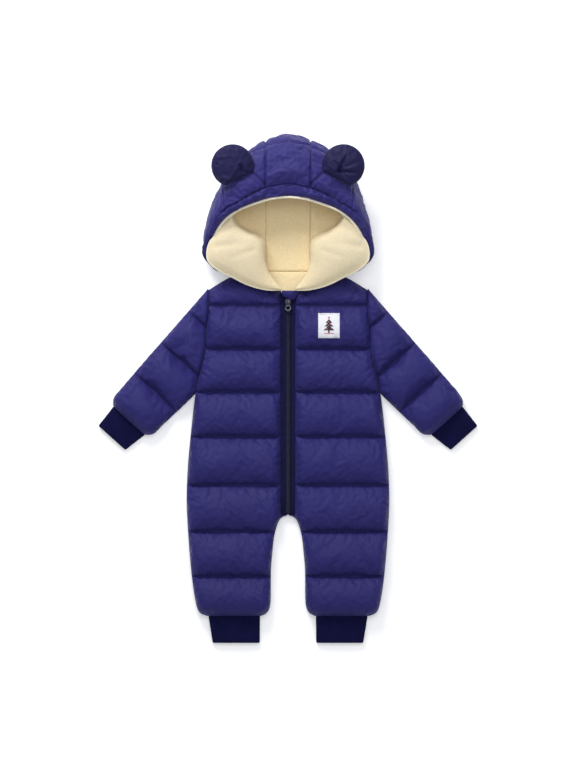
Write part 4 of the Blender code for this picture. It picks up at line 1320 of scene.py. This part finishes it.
def oval(turn, half, low, high):
    """A point round a flattened tube: how far across, and how high."""
    across = math.copysign(abs(math.cos(turn)) ** OVAL_POWER, math.cos(turn)) * half
    rise = math.copysign(abs(math.sin(turn)) ** OVAL_POWER, math.sin(turn))
    return Vector((across, 0.0, (low + high) / 2 + rise * (high - low) / 2))


def even_turns(half, high, count):
    """Angles that space points evenly round the tube."""
    fine = 1440
    points = [oval(2 * math.pi * k / fine, half, 0.0, high) for k in range(fine + 1)]
    run = [0.0]
    for a, b in zip(points, points[1:]):
        run.append(run[-1] + (b - a).length)
    turns, k = [], 0
    for n in range(count):
        while run[k + 1] < run[-1] * n / count:
            k += 1
        f = (run[-1] * n / count - run[k]) / (run[k + 1] - run[k])
        turns.append(2 * math.pi * (k + f) / fine)
    return turns


def rib_tube(name, start, end, across_way, size, ribs, seed):
    """A tube of rib knit from its sewn end to its open one. size is half its width and its height at
    each end."""
    (start_half, start_high), (end_half, end_high) = size
    turns = even_turns(start_half, start_high, ribs * RIB_POINTS)
    length = (end - start).length

    def section(i, j):
        share = j / RIB_ROWS
        half = start_half + (end_half - start_half) * share
        high = start_high + (end_high - start_high) * share
        return share, half, high, turns[i % len(turns)]

    def place(i, j):
        share, half, high, turn = section(i, j)
        profile = math.sin(math.pi * (i % RIB_POINTS) / RIB_POINTS) ** 0.7
        sunk = RIB_DEEP * (1 - profile)
        from_sewn, from_open = share * length, (1 - share) * length
        sunk += 0.0012 * (1 - round_up(from_sewn, 0.004)) + 0.0013 * (1 - round_up(from_open, 0.0035))
        sunk += 0.0004 * (1 + wander((share * 3, turn, seed), 0.8, 81))
        point = oval(turn, half - sunk, sunk, high - sunk)
        spot = start + (end - start) * share + across_way * point.x
        spot.z = max(0.0, point.z)
        return spot, 0.0

    def inner_place(i, j):
        share, half, high, turn = section(i, j)
        point = oval(turn, half - KNIT_WALL, KNIT_WALL, high - KNIT_WALL)
        return start + (end - start) * share + across_way * point.x + Vector((0, 0, point.z))

    bm = sheet_mesh(len(turns), RIB_ROWS, place)
    set_behind(bm, len(turns), inner_place)
    wale = bm.verts.layers.float.new("wale")
    course = bm.verts.layers.float.new("course")
    for number, vert in enumerate(bm.verts):
        vert[wale] = number % (len(turns) + 1) / RIB_POINTS
        vert[course] = number // (len(turns) + 1) / RIB_ROWS * length / STITCH_LONG
    wall_from(bm)
    bmesh.ops.remove_doubles(bm, verts=bm.verts[:], dist=0.00001)
    bmesh.ops.recalc_face_normals(bm, faces=bm.faces[:])
    return cloth_piece(name, bm, knit)


def on_sleeve(side, along, across):
    place = SLEEVE_ALONG * along + SLEEVE_ACROSS * across
    return Vector((side * place.x, place.y, 0.0))


CUFF_RIBS, ANKLE_RIBS = 50, 60
for hand, side in HANDS:
    cuff_from, cuff_to = [on_sleeve(side, along, across) for along, across in CUFF_ENDS]
    way = Vector((side * SLEEVE_ACROSS.x, SLEEVE_ACROSS.y, 0.0))
    piece = rib_tube(
        "knit_cuff_" + hand, cuff_from, cuff_to, way, CUFF_SIZE, CUFF_RIBS, 90 + side
    )
    wear(piece, "cuff_" + hand)
    ankle_from, ankle_to = [Vector((side * x, y, 0.0)) for x, y in ANKLE_ENDS]
    piece = rib_tube(
        "knit_ankle_" + hand, ankle_from, ankle_to, Vector((1, 0, 0)), ANKLE_SIZE, ANKLE_RIBS, 94 + side
    )
    wear(piece, "ankle_" + hand)

# ---------------------------------------------------------------------------------------------------
# Zip. Two woven tapes sewn under the front edges, a closed nylon coil on them, a slider at the top and
# its pull tab. It ends above the crotch seam, where the tapes drop and run together.
TAPE_Z = 0.0145
TAPE_THICK = 0.0010
ZIP_TOP_Y = 0.166
ZIP_END_Y = -0.2115
zip_fall = through(
    [(-0.2115, 0.0052), (-0.200, 0.0028), (-0.180, 0.0010), (-0.120, 0.0), (ZIP_TOP_Y, 0.0)]
)
TAPE_COLUMNS, TAPE_ROWS = 10, 150
CHAIN_Z = TAPE_Z + TAPE_THICK + SEAM_GAP
CHAIN_HALF = 0.0035
TOOTH_PITCH = 0.00150
TOOTH_THICK = 0.00055
TOOTH_REACH = 0.0007  # past the zip's middle line
CORD_HIGH = 0.0011
TOOTH_SLANT = 0.00022
TAPE_RIB_HIGHLIGHT = (0.014, 0.014, 0.080, 1.0)

# Herringbone twill: slanting ribs that turn back in each narrow band.
twill, taken, given = pattern(
    "herringbone",
    {"Place": "Vector", "Pitch": "Float", "Band": "Float"},
    {"Height": "Float"},
)
split = add_node(twill, "ShaderNodeSeparateXYZ", Vector=taken["Place"]).outputs
zigzag = calc(twill, "PINGPONG", split[0], taken["Band"])
slanting = calc(twill, "DIVIDE", calc(twill, "ADD", split[1], zigzag), taken["Pitch"])
twill.links.new(ribs_of(twill, slanting), given["Height"])

# Handling: scuffs that leave a lacquered or moulded face a little duller and lighter in patches.
scuffs, taken, given = pattern(
    "scuffs", {"Place": "Vector", "Scale": "Float"}, {"Mask": "Float", "Roughness": "Float"}
)
rubbed = noise_of(scuffs, taken["Place"], taken["Scale"], detail=4.0, distortion=0.3)
scuffs.links.new(ranged(scuffs, rubbed, 0.45, 0.70), given["Mask"])
scuffs.links.new(calc(scuffs, "MULTIPLY_ADD", rubbed, 0.35, 0.22), given["Roughness"])

tape, tree, shader = new_material("zip_tape", 0.85, sheen=0.02)
shader.inputs["Specular IOR Level"].default_value = 0.10
place = object_place(tree)
ribbed = placed(tree, twill, Place=place, Pitch=0.0007, Band=0.0012)
tones = placed(
    tree,
    uneven,
    Place=place,
    Dark=(0.0040, 0.0042, 0.030, 1.0),
    Light=(0.0085, 0.0085, 0.056, 1.0),
    Broad=60.0,
    Fine=1500.0,
)
# Painted highlight on the raised ribs of the twill.
lit = calc(tree, "MULTIPLY", ribbed["Height"], 0.3)
tree.links.new(mixed(tree, lit, tones["Colour"], TAPE_RIB_HIGHLIGHT), shader.inputs["Base Color"])
bump(tree, shader, (ribbed["Height"], 0.00012, 0.5))

coil, tree, shader = new_material("zip_coil", 0.45)
shader.inputs["Specular IOR Level"].default_value = 0.20
place = object_place(tree)
marks = placed(tree, scuffs, Place=place, Scale=300.0)
colour = mixed(tree, marks["Mask"], (0.0055, 0.0055, 0.016, 1.0), (0.014, 0.014, 0.028, 1.0))
tree.links.new(colour, shader.inputs["Base Color"])
tree.links.new(marks["Roughness"], shader.inputs["Roughness"])

for hand, side in HANDS:

    def tape_place(i, j):
        x = SEAM_GAP / 4 + (ZIP_HALF - SEAM_GAP / 4) * i / TAPE_COLUMNS
        y = ZIP_END_Y + (ZIP_TOP_Y - ZIP_END_Y) * j / TAPE_ROWS
        wave = 0.0004 * wander((side * x * 2, y, 0), 0.030, 101) * (i / TAPE_COLUMNS)
        return Vector((side * x, y, TAPE_Z + TAPE_THICK - zip_fall(y) + wave)), 0.0

    bm = sheet_mesh(TAPE_COLUMNS, TAPE_ROWS, tape_place, turned=side < 0)
    wall_below(bm, TAPE_THICK)
    piece = cloth_piece("zip_tape_cloth_" + hand, bm, tape)
    wear(piece, "zip_tape_" + hand)


def rod(bm, start, end, radius, sides):
    """A short straight rod between two points."""
    way = end - start
    turn = way.to_track_quat("Z", "Y").to_matrix().to_4x4()
    turn.translation = (start + end) / 2
    bmesh.ops.create_cone(
        bm,
        cap_ends=True,
        segments=sides,
        radius1=radius,
        radius2=radius,
        depth=way.length,
        matrix=turn,
    )


bm = bmesh.new()
count = int((ZIP_TOP_Y - ZIP_END_Y - 0.002) / TOOTH_PITCH)
for n in range(count):
    for side in (1, -1):
        y = ZIP_TOP_Y - 0.001 - TOOTH_PITCH * (n + (0.5 if side > 0 else 0.0))
        z = CHAIN_Z + CORD_HIGH + TOOTH_THICK - zip_fall(y)
        start = Vector((side * (CHAIN_HALF - 0.0002), y + TOOTH_SLANT, z - 0.0002))
        end = Vector((-side * TOOTH_REACH, y - TOOTH_SLANT, z + 0.0001))
        rod(bm, start, end, TOOTH_THICK, sides=6)
teeth = new_mesh("zip_coil_teeth", bm, coil, smooth=False)
bm = bmesh.new()
for side in (1, -1):
    made = bmesh.ops.create_grid(bm, x_segments=1, y_segments=120, size=1)
    for vert in made["verts"]:
        share = (vert.co.x + 1) / 2
        y = ZIP_END_Y + (ZIP_TOP_Y - ZIP_END_Y) * (vert.co.y + 1) / 2
        x = side * (0.0001 + (CHAIN_HALF - 0.0001) * share)
        vert.co = (x, y, CHAIN_Z + CORD_HIGH - zip_fall(y))
raised = bmesh.ops.extrude_face_region(bm, geom=bm.faces[:], use_keep_orig=True)
for vert in points_of(raised):
    vert.co.z -= CORD_HIGH
bmesh.ops.recalc_face_normals(bm, faces=bm.faces[:])
cord = new_mesh("zip_coil_cord", bm, tape, smooth=False)
wear(teeth, "zip_chain")
attach(cord)

# The zip's sewing: on each side a row of stitches through the coil, and one through the tape.
THREAD = 0.00022
COIL_SEAM_X, TAPE_SEAM_X = 0.0027, 0.0105

# Twisted thread: fine slanting plies.
twist, taken, given = pattern("thread_twist", {"Place": "Vector", "Pitch": "Float"}, {"Height": "Float"})
split = add_node(twist, "ShaderNodeSeparateXYZ", Vector=taken["Place"]).outputs
winding = calc(twist, "DIVIDE", calc(twist, "ADD", split[0], split[1]), taken["Pitch"])
twist.links.new(ribs_of(twist, winding), given["Height"])


def thread_finish(name, dark, light):
    """Polyester thread, its colour lighter on the crest of each ply: painted highlight."""
    made, tree, shader = new_material(name, 0.62, sheen=0.12)
    place = object_place(tree)
    plies = placed(tree, twist, Place=place, Pitch=0.00035)
    tree.links.new(mixed(tree, plies["Height"], dark, light), shader.inputs["Base Color"])
    bump(tree, shader, (plies["Height"], 0.00005, 0.5))
    return made


thread = thread_finish("sewing_thread", (0.006, 0.005, 0.036, 1.0), (0.014, 0.012, 0.070, 1.0))


def sew(bm, points, long=0.0026, gap=0.0009, radius=THREAD):
    """Stitches along a line of points: short threads with gaps between them."""
    run, here = 0.0, []
    for a, b in zip(points, points[1:]):
        step = (b - a).length
        while run < step:
            here.append(a + (b - a) * (run / step))
            run += (long + gap) / 2
        run -= step
    for a, b in zip(here[::2], here[1::2]):
        middle = (a + b) / 2
        half = (b - a) * (long / (long + gap))
        rod(bm, middle - half, middle + half, radius, sides=5)


bm = bmesh.new()
for side in (1, -1):
    ys = [ZIP_TOP_Y - 0.002 - 0.004 * k for k in range(92)]
    coil_z = CHAIN_Z + CORD_HIGH + 2 * TOOTH_THICK
    sew(bm, [Vector((side * COIL_SEAM_X, y, coil_z - zip_fall(y))) for y in ys])
    tape_z = TAPE_Z + TAPE_THICK + THREAD * 0.4
    sew(bm, [Vector((side * TAPE_SEAM_X, y, tape_z - zip_fall(y))) for y in ys])
stitches = new_mesh("zip_stitches", bm, thread)
attach(stitches)

# ---------------------------------------------------------------------------------------------------
# Slider and pull tab. Die-cast zinc with a dark lacquer. The slider's bridge holds the tab's bar, and the
# tab swings on it from lying down towards the crotch to standing back over the chin guard.
metal, tree, shader = new_material("zip_metal", 0.34, metallic=1.0)
place = object_place(tree)
marks = placed(tree, scuffs, Place=place, Scale=420.0)
colour = mixed(tree, marks["Mask"], (0.040, 0.040, 0.055, 1.0), (0.17, 0.17, 0.20, 1.0))
tree.links.new(colour, shader.inputs["Base Color"])
tree.links.new(marks["Roughness"], shader.inputs["Roughness"])
SLIDER_Z = CHAIN_Z + 0.0024 + SEAM_GAP
PLATE_THICK = 0.0018
PULL_Y = 0.1485
PULL_Z = SLIDER_Z + PLATE_THICK + 0.0018
PULL_THICK = 0.0014
ARM_INNER, ARM_OUTER = 0.0021, 0.0036
SLOT_LENGTH = 0.0052
RING_RADIUS, RING_HOLE = 0.0056, 0.0028
RING_Y = -SLOT_LENGTH - RING_RADIUS + 0.0012


def raised_outline(bm, points, way, distance, soft):
    """A plate: an outline pushed out along a way, its corners softened."""
    face = bm.faces.new([bm.verts.new(point) for point in points])
    made = bmesh.ops.extrude_face_region(bm, geom=[face], use_keep_orig=True)
    bmesh.ops.translate(bm, verts=points_of(made), vec=Vector(way) * distance)
    bmesh.ops.recalc_face_normals(bm, faces=bm.faces[:])
    sharp = [e for e in bm.edges if len(e.link_faces) == 2 and e.calc_face_angle(0.0) > 0.35]
    bmesh.ops.bevel(
        bm, geom=sharp, offset=soft, affect="EDGES", segments=3, profile=0.5, material=-1
    )


right_edge = [
    (0.0032, -0.0055), (0.0040, -0.0020), (0.0048, 0.0015),
    (0.0047, 0.0036), (0.0042, 0.0050), (0.0020, 0.0055),
]
plate_outline = right_edge + [(-x, y) for x, y in right_edge[::-1]]
bm = bmesh.new()
raised_outline(bm, [(x, PULL_Y + y, SLIDER_Z) for x, y in plate_outline], (0, 0, 1), PLATE_THICK, 0.0005)
slider = new_mesh("slider_plate", bm, metal)
plate_top = SLIDER_Z + PLATE_THICK
rising = [(-0.0030, -0.0004), (-0.0030, 0.0034), (-0.0024, 0.0046), (-0.0014, 0.0052)]
under = [(-0.0018, -0.0004), (-0.0018, 0.0030), (-0.0010, 0.0038)]
arch = rising + [(-y, z) for y, z in rising[::-1]]
arch += [(-y, z) for y, z in under] + under[::-1]
bm = bmesh.new()
raised_outline(bm, [(-0.0015, PULL_Y + y, plate_top + z) for y, z in arch], (1, 0, 0), 0.0030, 0.0003)
bridge = new_mesh("slider_bridge", bm, metal)
wear(slider, "zip_slider")
attach(bridge)

bm = bmesh.new()
rim_points = [(RING_HOLE, -0.5), (RING_RADIUS, -0.5), (RING_RADIUS, 0.5), (RING_HOLE, 0.5)]
corners = [bm.verts.new((r, 0.0, h * PULL_THICK)) for r, h in rim_points]
bm.faces.new(corners)
bmesh.ops.bevel(
    bm, geom=bm.verts[:], offset=0.0004, affect="VERTICES", segments=3, profile=0.5, material=-1
)
bmesh.ops.delete(bm, geom=bm.faces[:], context="FACES_ONLY")
bmesh.ops.spin(
    bm,
    geom=bm.verts[:] + bm.edges[:],
    cent=(0, 0, 0),
    axis=(0, 0, 1),
    angle=2 * math.pi,
    steps=48,
    use_merge=True,
)
bmesh.ops.remove_doubles(bm, verts=bm.verts[:], dist=0.000001)
bmesh.ops.translate(bm, verts=bm.verts[:], vec=(0, PULL_Y + RING_Y, PULL_Z))
for side in (1, -1):
    arm = bmesh.new()
    low = RING_Y + RING_RADIUS * 0.78
    near, far, high = side * ARM_INNER, side * ARM_OUTER, PULL_THICK / 2
    corners = [(near, low), (far, low), (far, high), (near, high)]
    corners = [(x, PULL_Y + y, PULL_Z - high) for x, y in corners]
    raised_outline(arm, corners, (0, 0, 1), PULL_THICK, 0.0003)
    merge(bm, arm)
bar_ends = [Vector((x, PULL_Y, PULL_Z)) for x in (-ARM_OUTER, ARM_OUTER)]
rod(bm, *bar_ends, PULL_THICK / 2, sides=16)
bmesh.ops.recalc_face_normals(bm, faces=bm.faces[:])
pull = new_mesh("pull_ring", bm, metal)
for piece in (pull, slider, bridge):
    piece.data.set_sharp_from_angle(angle=math.radians(35))
attach(pull, body="pull_tab")
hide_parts("zip_pull")

# ---------------------------------------------------------------------------------------------------
# Chin guard. A small doubled flap of the shell cloth, folded over the zip's top end and stitched round.
GUARD_Z = SLIDER_Z + 0.0024
GUARD_KNOTS = (
    (-0.0100, 0.1685), (-0.0104, 0.1640), (-0.0086, 0.1598), (-0.0030, 0.1562), (0.0030, 0.1534),
    (0.0080, 0.1531), (0.0122, 0.1552), (0.0150, 0.1600), (0.0180, 0.1660), (0.0180, 0.1685),
)
GUARD_POINTS = 72
GUARD_STEPS = (  # from the edge in, as (width, rise): a rounded edge, then a row of stitching's dip
    (0.0005, 0.0008), (0.0006, 0.0005), (0.0007, 0.0002),
    (0.0008, -0.0003), (0.0010, 0.0002), (0.0016, 0.0005),
)
guard_knots = [Vector((x, y, GUARD_Z + 0.0004)) for x, y in GUARD_KNOTS]
bm = bmesh.new()
bm.faces.new([bm.verts.new(curve_at(guard_knots, k / GUARD_POINTS)) for k in range(GUARD_POINTS + 1)])
bmesh.ops.recalc_face_normals(bm, faces=bm.faces[:])
if bm.faces[:][0].normal.z < 0:
    bmesh.ops.reverse_faces(bm, faces=bm.faces[:])
for thick, depth in GUARD_STEPS:
    bm.faces.ensure_lookup_table()
    top = max(bm.faces, key=lambda f: len(f.verts) if f.normal.z > 0.9 else 0)
    bmesh.ops.inset_region(bm, faces=[top], thickness=thick, depth=depth, use_even_offset=True)
close_below(bm, GUARD_Z)
# The flap takes the hood's lighter copy of the shell cloth, with painted light.
guard = new_mesh("chin_flap", bm, hood_shell_painted_light)
wear(guard, "chin_guard")

# ---------------------------------------------------------------------------------------------------
# Chest label. A white woven label with a fine border, stitched flat on the left front, and a small fir
# tree in navy with a coral star and ground line, embroidered in satin stitch.
LABEL_X = (0.0512, 0.0878)
LABEL_Y = (0.0877, 0.1303)
LABEL_THICK = 0.0008
LABEL_RISE = 0.0012  # above the chest's smoothed surface
LABEL_KNOTS = 5
LABEL_SHADE = (0.62, 0.63, 0.68, 1.0)
LABEL_COLUMNS, LABEL_ROWS = 36, 42
label_cloth, tree, shader = new_material("label_cloth", 0.8, sheen=0.1)
place = object_place(tree)
threads = placed(tree, weave, Place=place, Pitch=0.00036)
tones = placed(
    tree,
    uneven,
    Place=place,
    Dark=(0.74, 0.75, 0.79, 1.0),
    Light=(0.82, 0.825, 0.86, 1.0),
    Broad=90.0,
    Fine=2200.0,
)
shadow = calc(tree, "MULTIPLY", threads["Over"], 0.12)
tree.links.new(mixed(tree, shadow, tones["Colour"], LABEL_SHADE), shader.inputs["Base Color"])
bump(tree, shader, (threads["Height"], 0.00005, 0.4))
ink = thread_finish("navy_embroidery", (0.008, 0.008, 0.020, 1.0), (0.030, 0.028, 0.060, 1.0))
coral = thread_finish("coral_embroidery", (0.40, 0.050, 0.045, 1.0), (0.66, 0.120, 0.095, 1.0))
border = thread_finish("border_embroidery", (0.16, 0.16, 0.22, 1.0), (0.30, 0.30, 0.38, 1.0))


def ground_of(piece):
    """The height of a piece's top at a place, seen from above."""
    tree_of_faces = BVHTree.FromObject(piece, bpy.context.evaluated_depsgraph_get())

    def height(x, y):
        hit = tree_of_faces.ray_cast(Vector((x, y, 1.0)), Vector((0, 0, -1)))
        return hit[0].z if hit[0] else None

    return height


chest = ground_of(fronts["left"])
chest_grid = []
for j in range(LABEL_KNOTS + 1):
    y = LABEL_Y[0] + (LABEL_Y[1] - LABEL_Y[0]) * j / LABEL_KNOTS
    xs = [LABEL_X[0] + (LABEL_X[1] - LABEL_X[0]) * i / LABEL_KNOTS for i in range(LABEL_KNOTS + 1)]
    chest_grid.append([Vector((x, y, chest(x, y) or 0.03)) for x in xs])


def on_chest(x, y, rise):
    """A point this much above the chest's smoothed surface."""
    u = min(max((x - LABEL_X[0]) / (LABEL_X[1] - LABEL_X[0]), 0.0), 1.0)
    v = min(max((y - LABEL_Y[0]) / (LABEL_Y[1] - LABEL_Y[0]), 0.0), 1.0)
    place = curve_at([curve_at(line, u) for line in chest_grid], v)
    return Vector((x, y, place.z + rise))


def label_place(i, j):
    x = LABEL_X[0] + (LABEL_X[1] - LABEL_X[0]) * i / LABEL_COLUMNS
    y = LABEL_Y[0] + (LABEL_Y[1] - LABEL_Y[0]) * j / LABEL_ROWS
    near = min(x - LABEL_X[0], LABEL_X[1] - x, y - LABEL_Y[0], LABEL_Y[1] - y)
    soft = 0.0004 * (1 - round_up(near, 0.0012))
    return on_chest(x, y, LABEL_RISE - soft), 0.0


bm = sheet_mesh(LABEL_COLUMNS, LABEL_ROWS, label_place)
wall_below(bm, LABEL_THICK)
label = cloth_piece("chest_label", bm, label_cloth)


def satin(name, outlines, finish, thick=0.00022):
    """Raised embroidery on the label: each outline filled, in x and y from the label's middle."""
    middle = ((LABEL_X[0] + LABEL_X[1]) / 2, (LABEL_Y[0] + LABEL_Y[1]) / 2)
    bm = bmesh.new()
    for outline in outlines:
        bm.faces.new([bm.verts.new((middle[0] + x, middle[1] + y, 0.0)) for x, y in outline])
    bmesh.ops.recalc_face_normals(bm, faces=bm.faces[:])
    bmesh.ops.triangulate(bm, faces=bm.faces[:])
    bmesh.ops.subdivide_edges(bm, edges=bm.edges[:], cuts=2, use_grid_fill=True)
    made = bmesh.ops.extrude_face_region(bm, geom=bm.faces[:], use_keep_orig=True)
    raised = set(points_of(made))
    for vert in bm.verts:
        rise = LABEL_RISE + (thick if vert in raised else -0.0001)
        vert.co = on_chest(vert.co.x, vert.co.y, rise)
    bmesh.ops.recalc_face_normals(bm, faces=bm.faces[:])
    piece = new_mesh(name, bm, finish, smooth=False)
    attach(piece)
    return piece


def star(x, y, outer, inner, points=5):
    """A star's outline, the first point up."""
    turns = [math.pi / 2 + math.pi * k / points for k in range(2 * points)]
    return [
        (x + (outer, inner)[k % 2] * math.cos(t), y + (outer, inner)[k % 2] * math.sin(t))
        for k, t in enumerate(turns)
    ]


def frame_strips(half_x, half_y, wide):
    """The four sides of a thin border."""
    return [
        [(-half_x, half_y - wide), (half_x, half_y - wide), (half_x, half_y), (-half_x, half_y)],
        [(-half_x, -half_y), (half_x, -half_y), (half_x, -half_y + wide), (-half_x, -half_y + wide)],
        [(-half_x, -half_y), (-half_x + wide, -half_y), (-half_x + wide, half_y), (-half_x, half_y)],
        [(half_x - wide, -half_y), (half_x, -half_y), (half_x, half_y), (half_x - wide, half_y)],
    ]


TIERS = ((-0.0080, 0.0095, 0.0085), (-0.0015, 0.0078, 0.0078), (0.0045, 0.0058, 0.0070))
tiers = [[(-half, base), (half, base), (0.0, base + high)] for base, half, high in TIERS]
trunk = [(-0.0013, -0.0122), (0.0013, -0.0122), (0.0013, -0.0078), (-0.0013, -0.0078)]
ground = [(-0.0085, -0.0138), (0.0085, -0.0138), (0.0085, -0.0128), (-0.0085, -0.0128)]
BERRIES = (
    (-0.0042, -0.0062), (0.0036, -0.0058), (-0.0012, 0.0006), (0.0022, 0.0018), (-0.0006, 0.0066)
)
berries = [star(x, y, 0.0010, 0.0009, 6) for x, y in BERRIES]
motif = [
    satin("label_tree", tiers + [trunk], ink),
    satin("label_star", [star(0.0, 0.0136, 0.0026, 0.0011), ground], coral, thick=0.00026),
    satin("label_berries", berries, coral, thick=0.00040),
    satin("label_frame", frame_strips(0.0164, 0.0194, 0.00035), border, thick=0.00014),
]
LABEL_SEAM_STEPS = 16
bm = bmesh.new()
inset = 0.0009
corners = [
    (LABEL_X[0] + inset, LABEL_Y[0] + inset), (LABEL_X[1] - inset, LABEL_Y[0] + inset),
    (LABEL_X[1] - inset, LABEL_Y[1] - inset), (LABEL_X[0] + inset, LABEL_Y[1] - inset),
]
for (ax, ay), (bx, by) in zip(corners, corners[1:] + corners[:1]):
    shares = [(k, LABEL_SEAM_STEPS) for k in range(LABEL_SEAM_STEPS + 1)]
    line = [on_chest(ax + (bx - ax) * k / n, ay + (by - ay) * k / n, LABEL_RISE) for k, n in shares]
    sew(bm, line, long=0.0018, gap=0.0007, radius=0.00014)
white_thread = thread_finish("white_thread", (0.62, 0.63, 0.66, 1.0), (0.86, 0.87, 0.90, 1.0))
motif.append(new_mesh("label_stitches", bm, white_thread))
attach(motif[-1])
wear(label, "chest_patch")

# ---------------------------------------------------------------------------------------------------
# Quilting stitches. Navy thread, sunk in the lines across the fronts, the sleeves and the hood.
QUILT_STEP = 0.004
bm = bmesh.new()
for hand, side in HANDS:
    top = ground_of(fronts[hand])
    for y in QUILT_LINES[1:]:
        inner = max(inseam(min(y, CROTCH_Y)), ZIP_HALF) + 0.003
        outer = side_edge(y) - 0.002
        count = int((outer - inner) / QUILT_STEP)
        xs = [side * (inner + (outer - inner) * k / count) for k in range(count + 1)]
        sew(bm, [Vector((x, y, (top(x, y) or FRONT_BOTTOM) + THREAD * 0.3)) for x in xs])
    top = ground_of(sleeves[hand])
    for along in SLEEVE_LINES[1:-1]:
        upper, lower = sleeve_upper(along), sleeve_lower(along)
        count = int((upper - lower) / QUILT_STEP)
        line = []
        for k in range(1, count):
            place = on_sleeve(side, along, lower + (upper - lower) * k / count)
            high = top(place.x, place.y)
            if high and from_armhole(abs(place.x), place.y) > 0.001:
                line.append(Vector((place.x, place.y, high + THREAD * 0.3)))
        sew(bm, line)
quilting = new_mesh("quilting_stitches", bm, thread)
attach(quilting)

bm = bmesh.new()
tops = {hand: ground_of(bpy.data.objects["hood_side_" + hand]) for hand, side in HANDS}
strip_top = ground_of(hood_strip)
lines = [[(side * x, y) for x, y in line] for line in HOOD_LINES for hand, side in HANDS]
lines += [list(line) for line in crown]
for (ax, ay), (bx, by) in lines:
    count = max(3, int(math.hypot(bx - ax, by - ay) / QUILT_STEP))
    line = []
    for k in range(count + 1):
        x, y = ax + (bx - ax) * k / count, ay + (by - ay) * k / count
        if abs(x) < HOOD_STRIP - 0.001:
            high = strip_top(x, y)
        else:
            high = tops["left" if x > 0 else "right"](x, y)
        if high:
            line.append(Vector((x, y, high + THREAD * 0.3)))
    sew(bm, line)
hood_stitches = new_mesh("hood_stitches", bm, thread)
attach(hood_stitches)
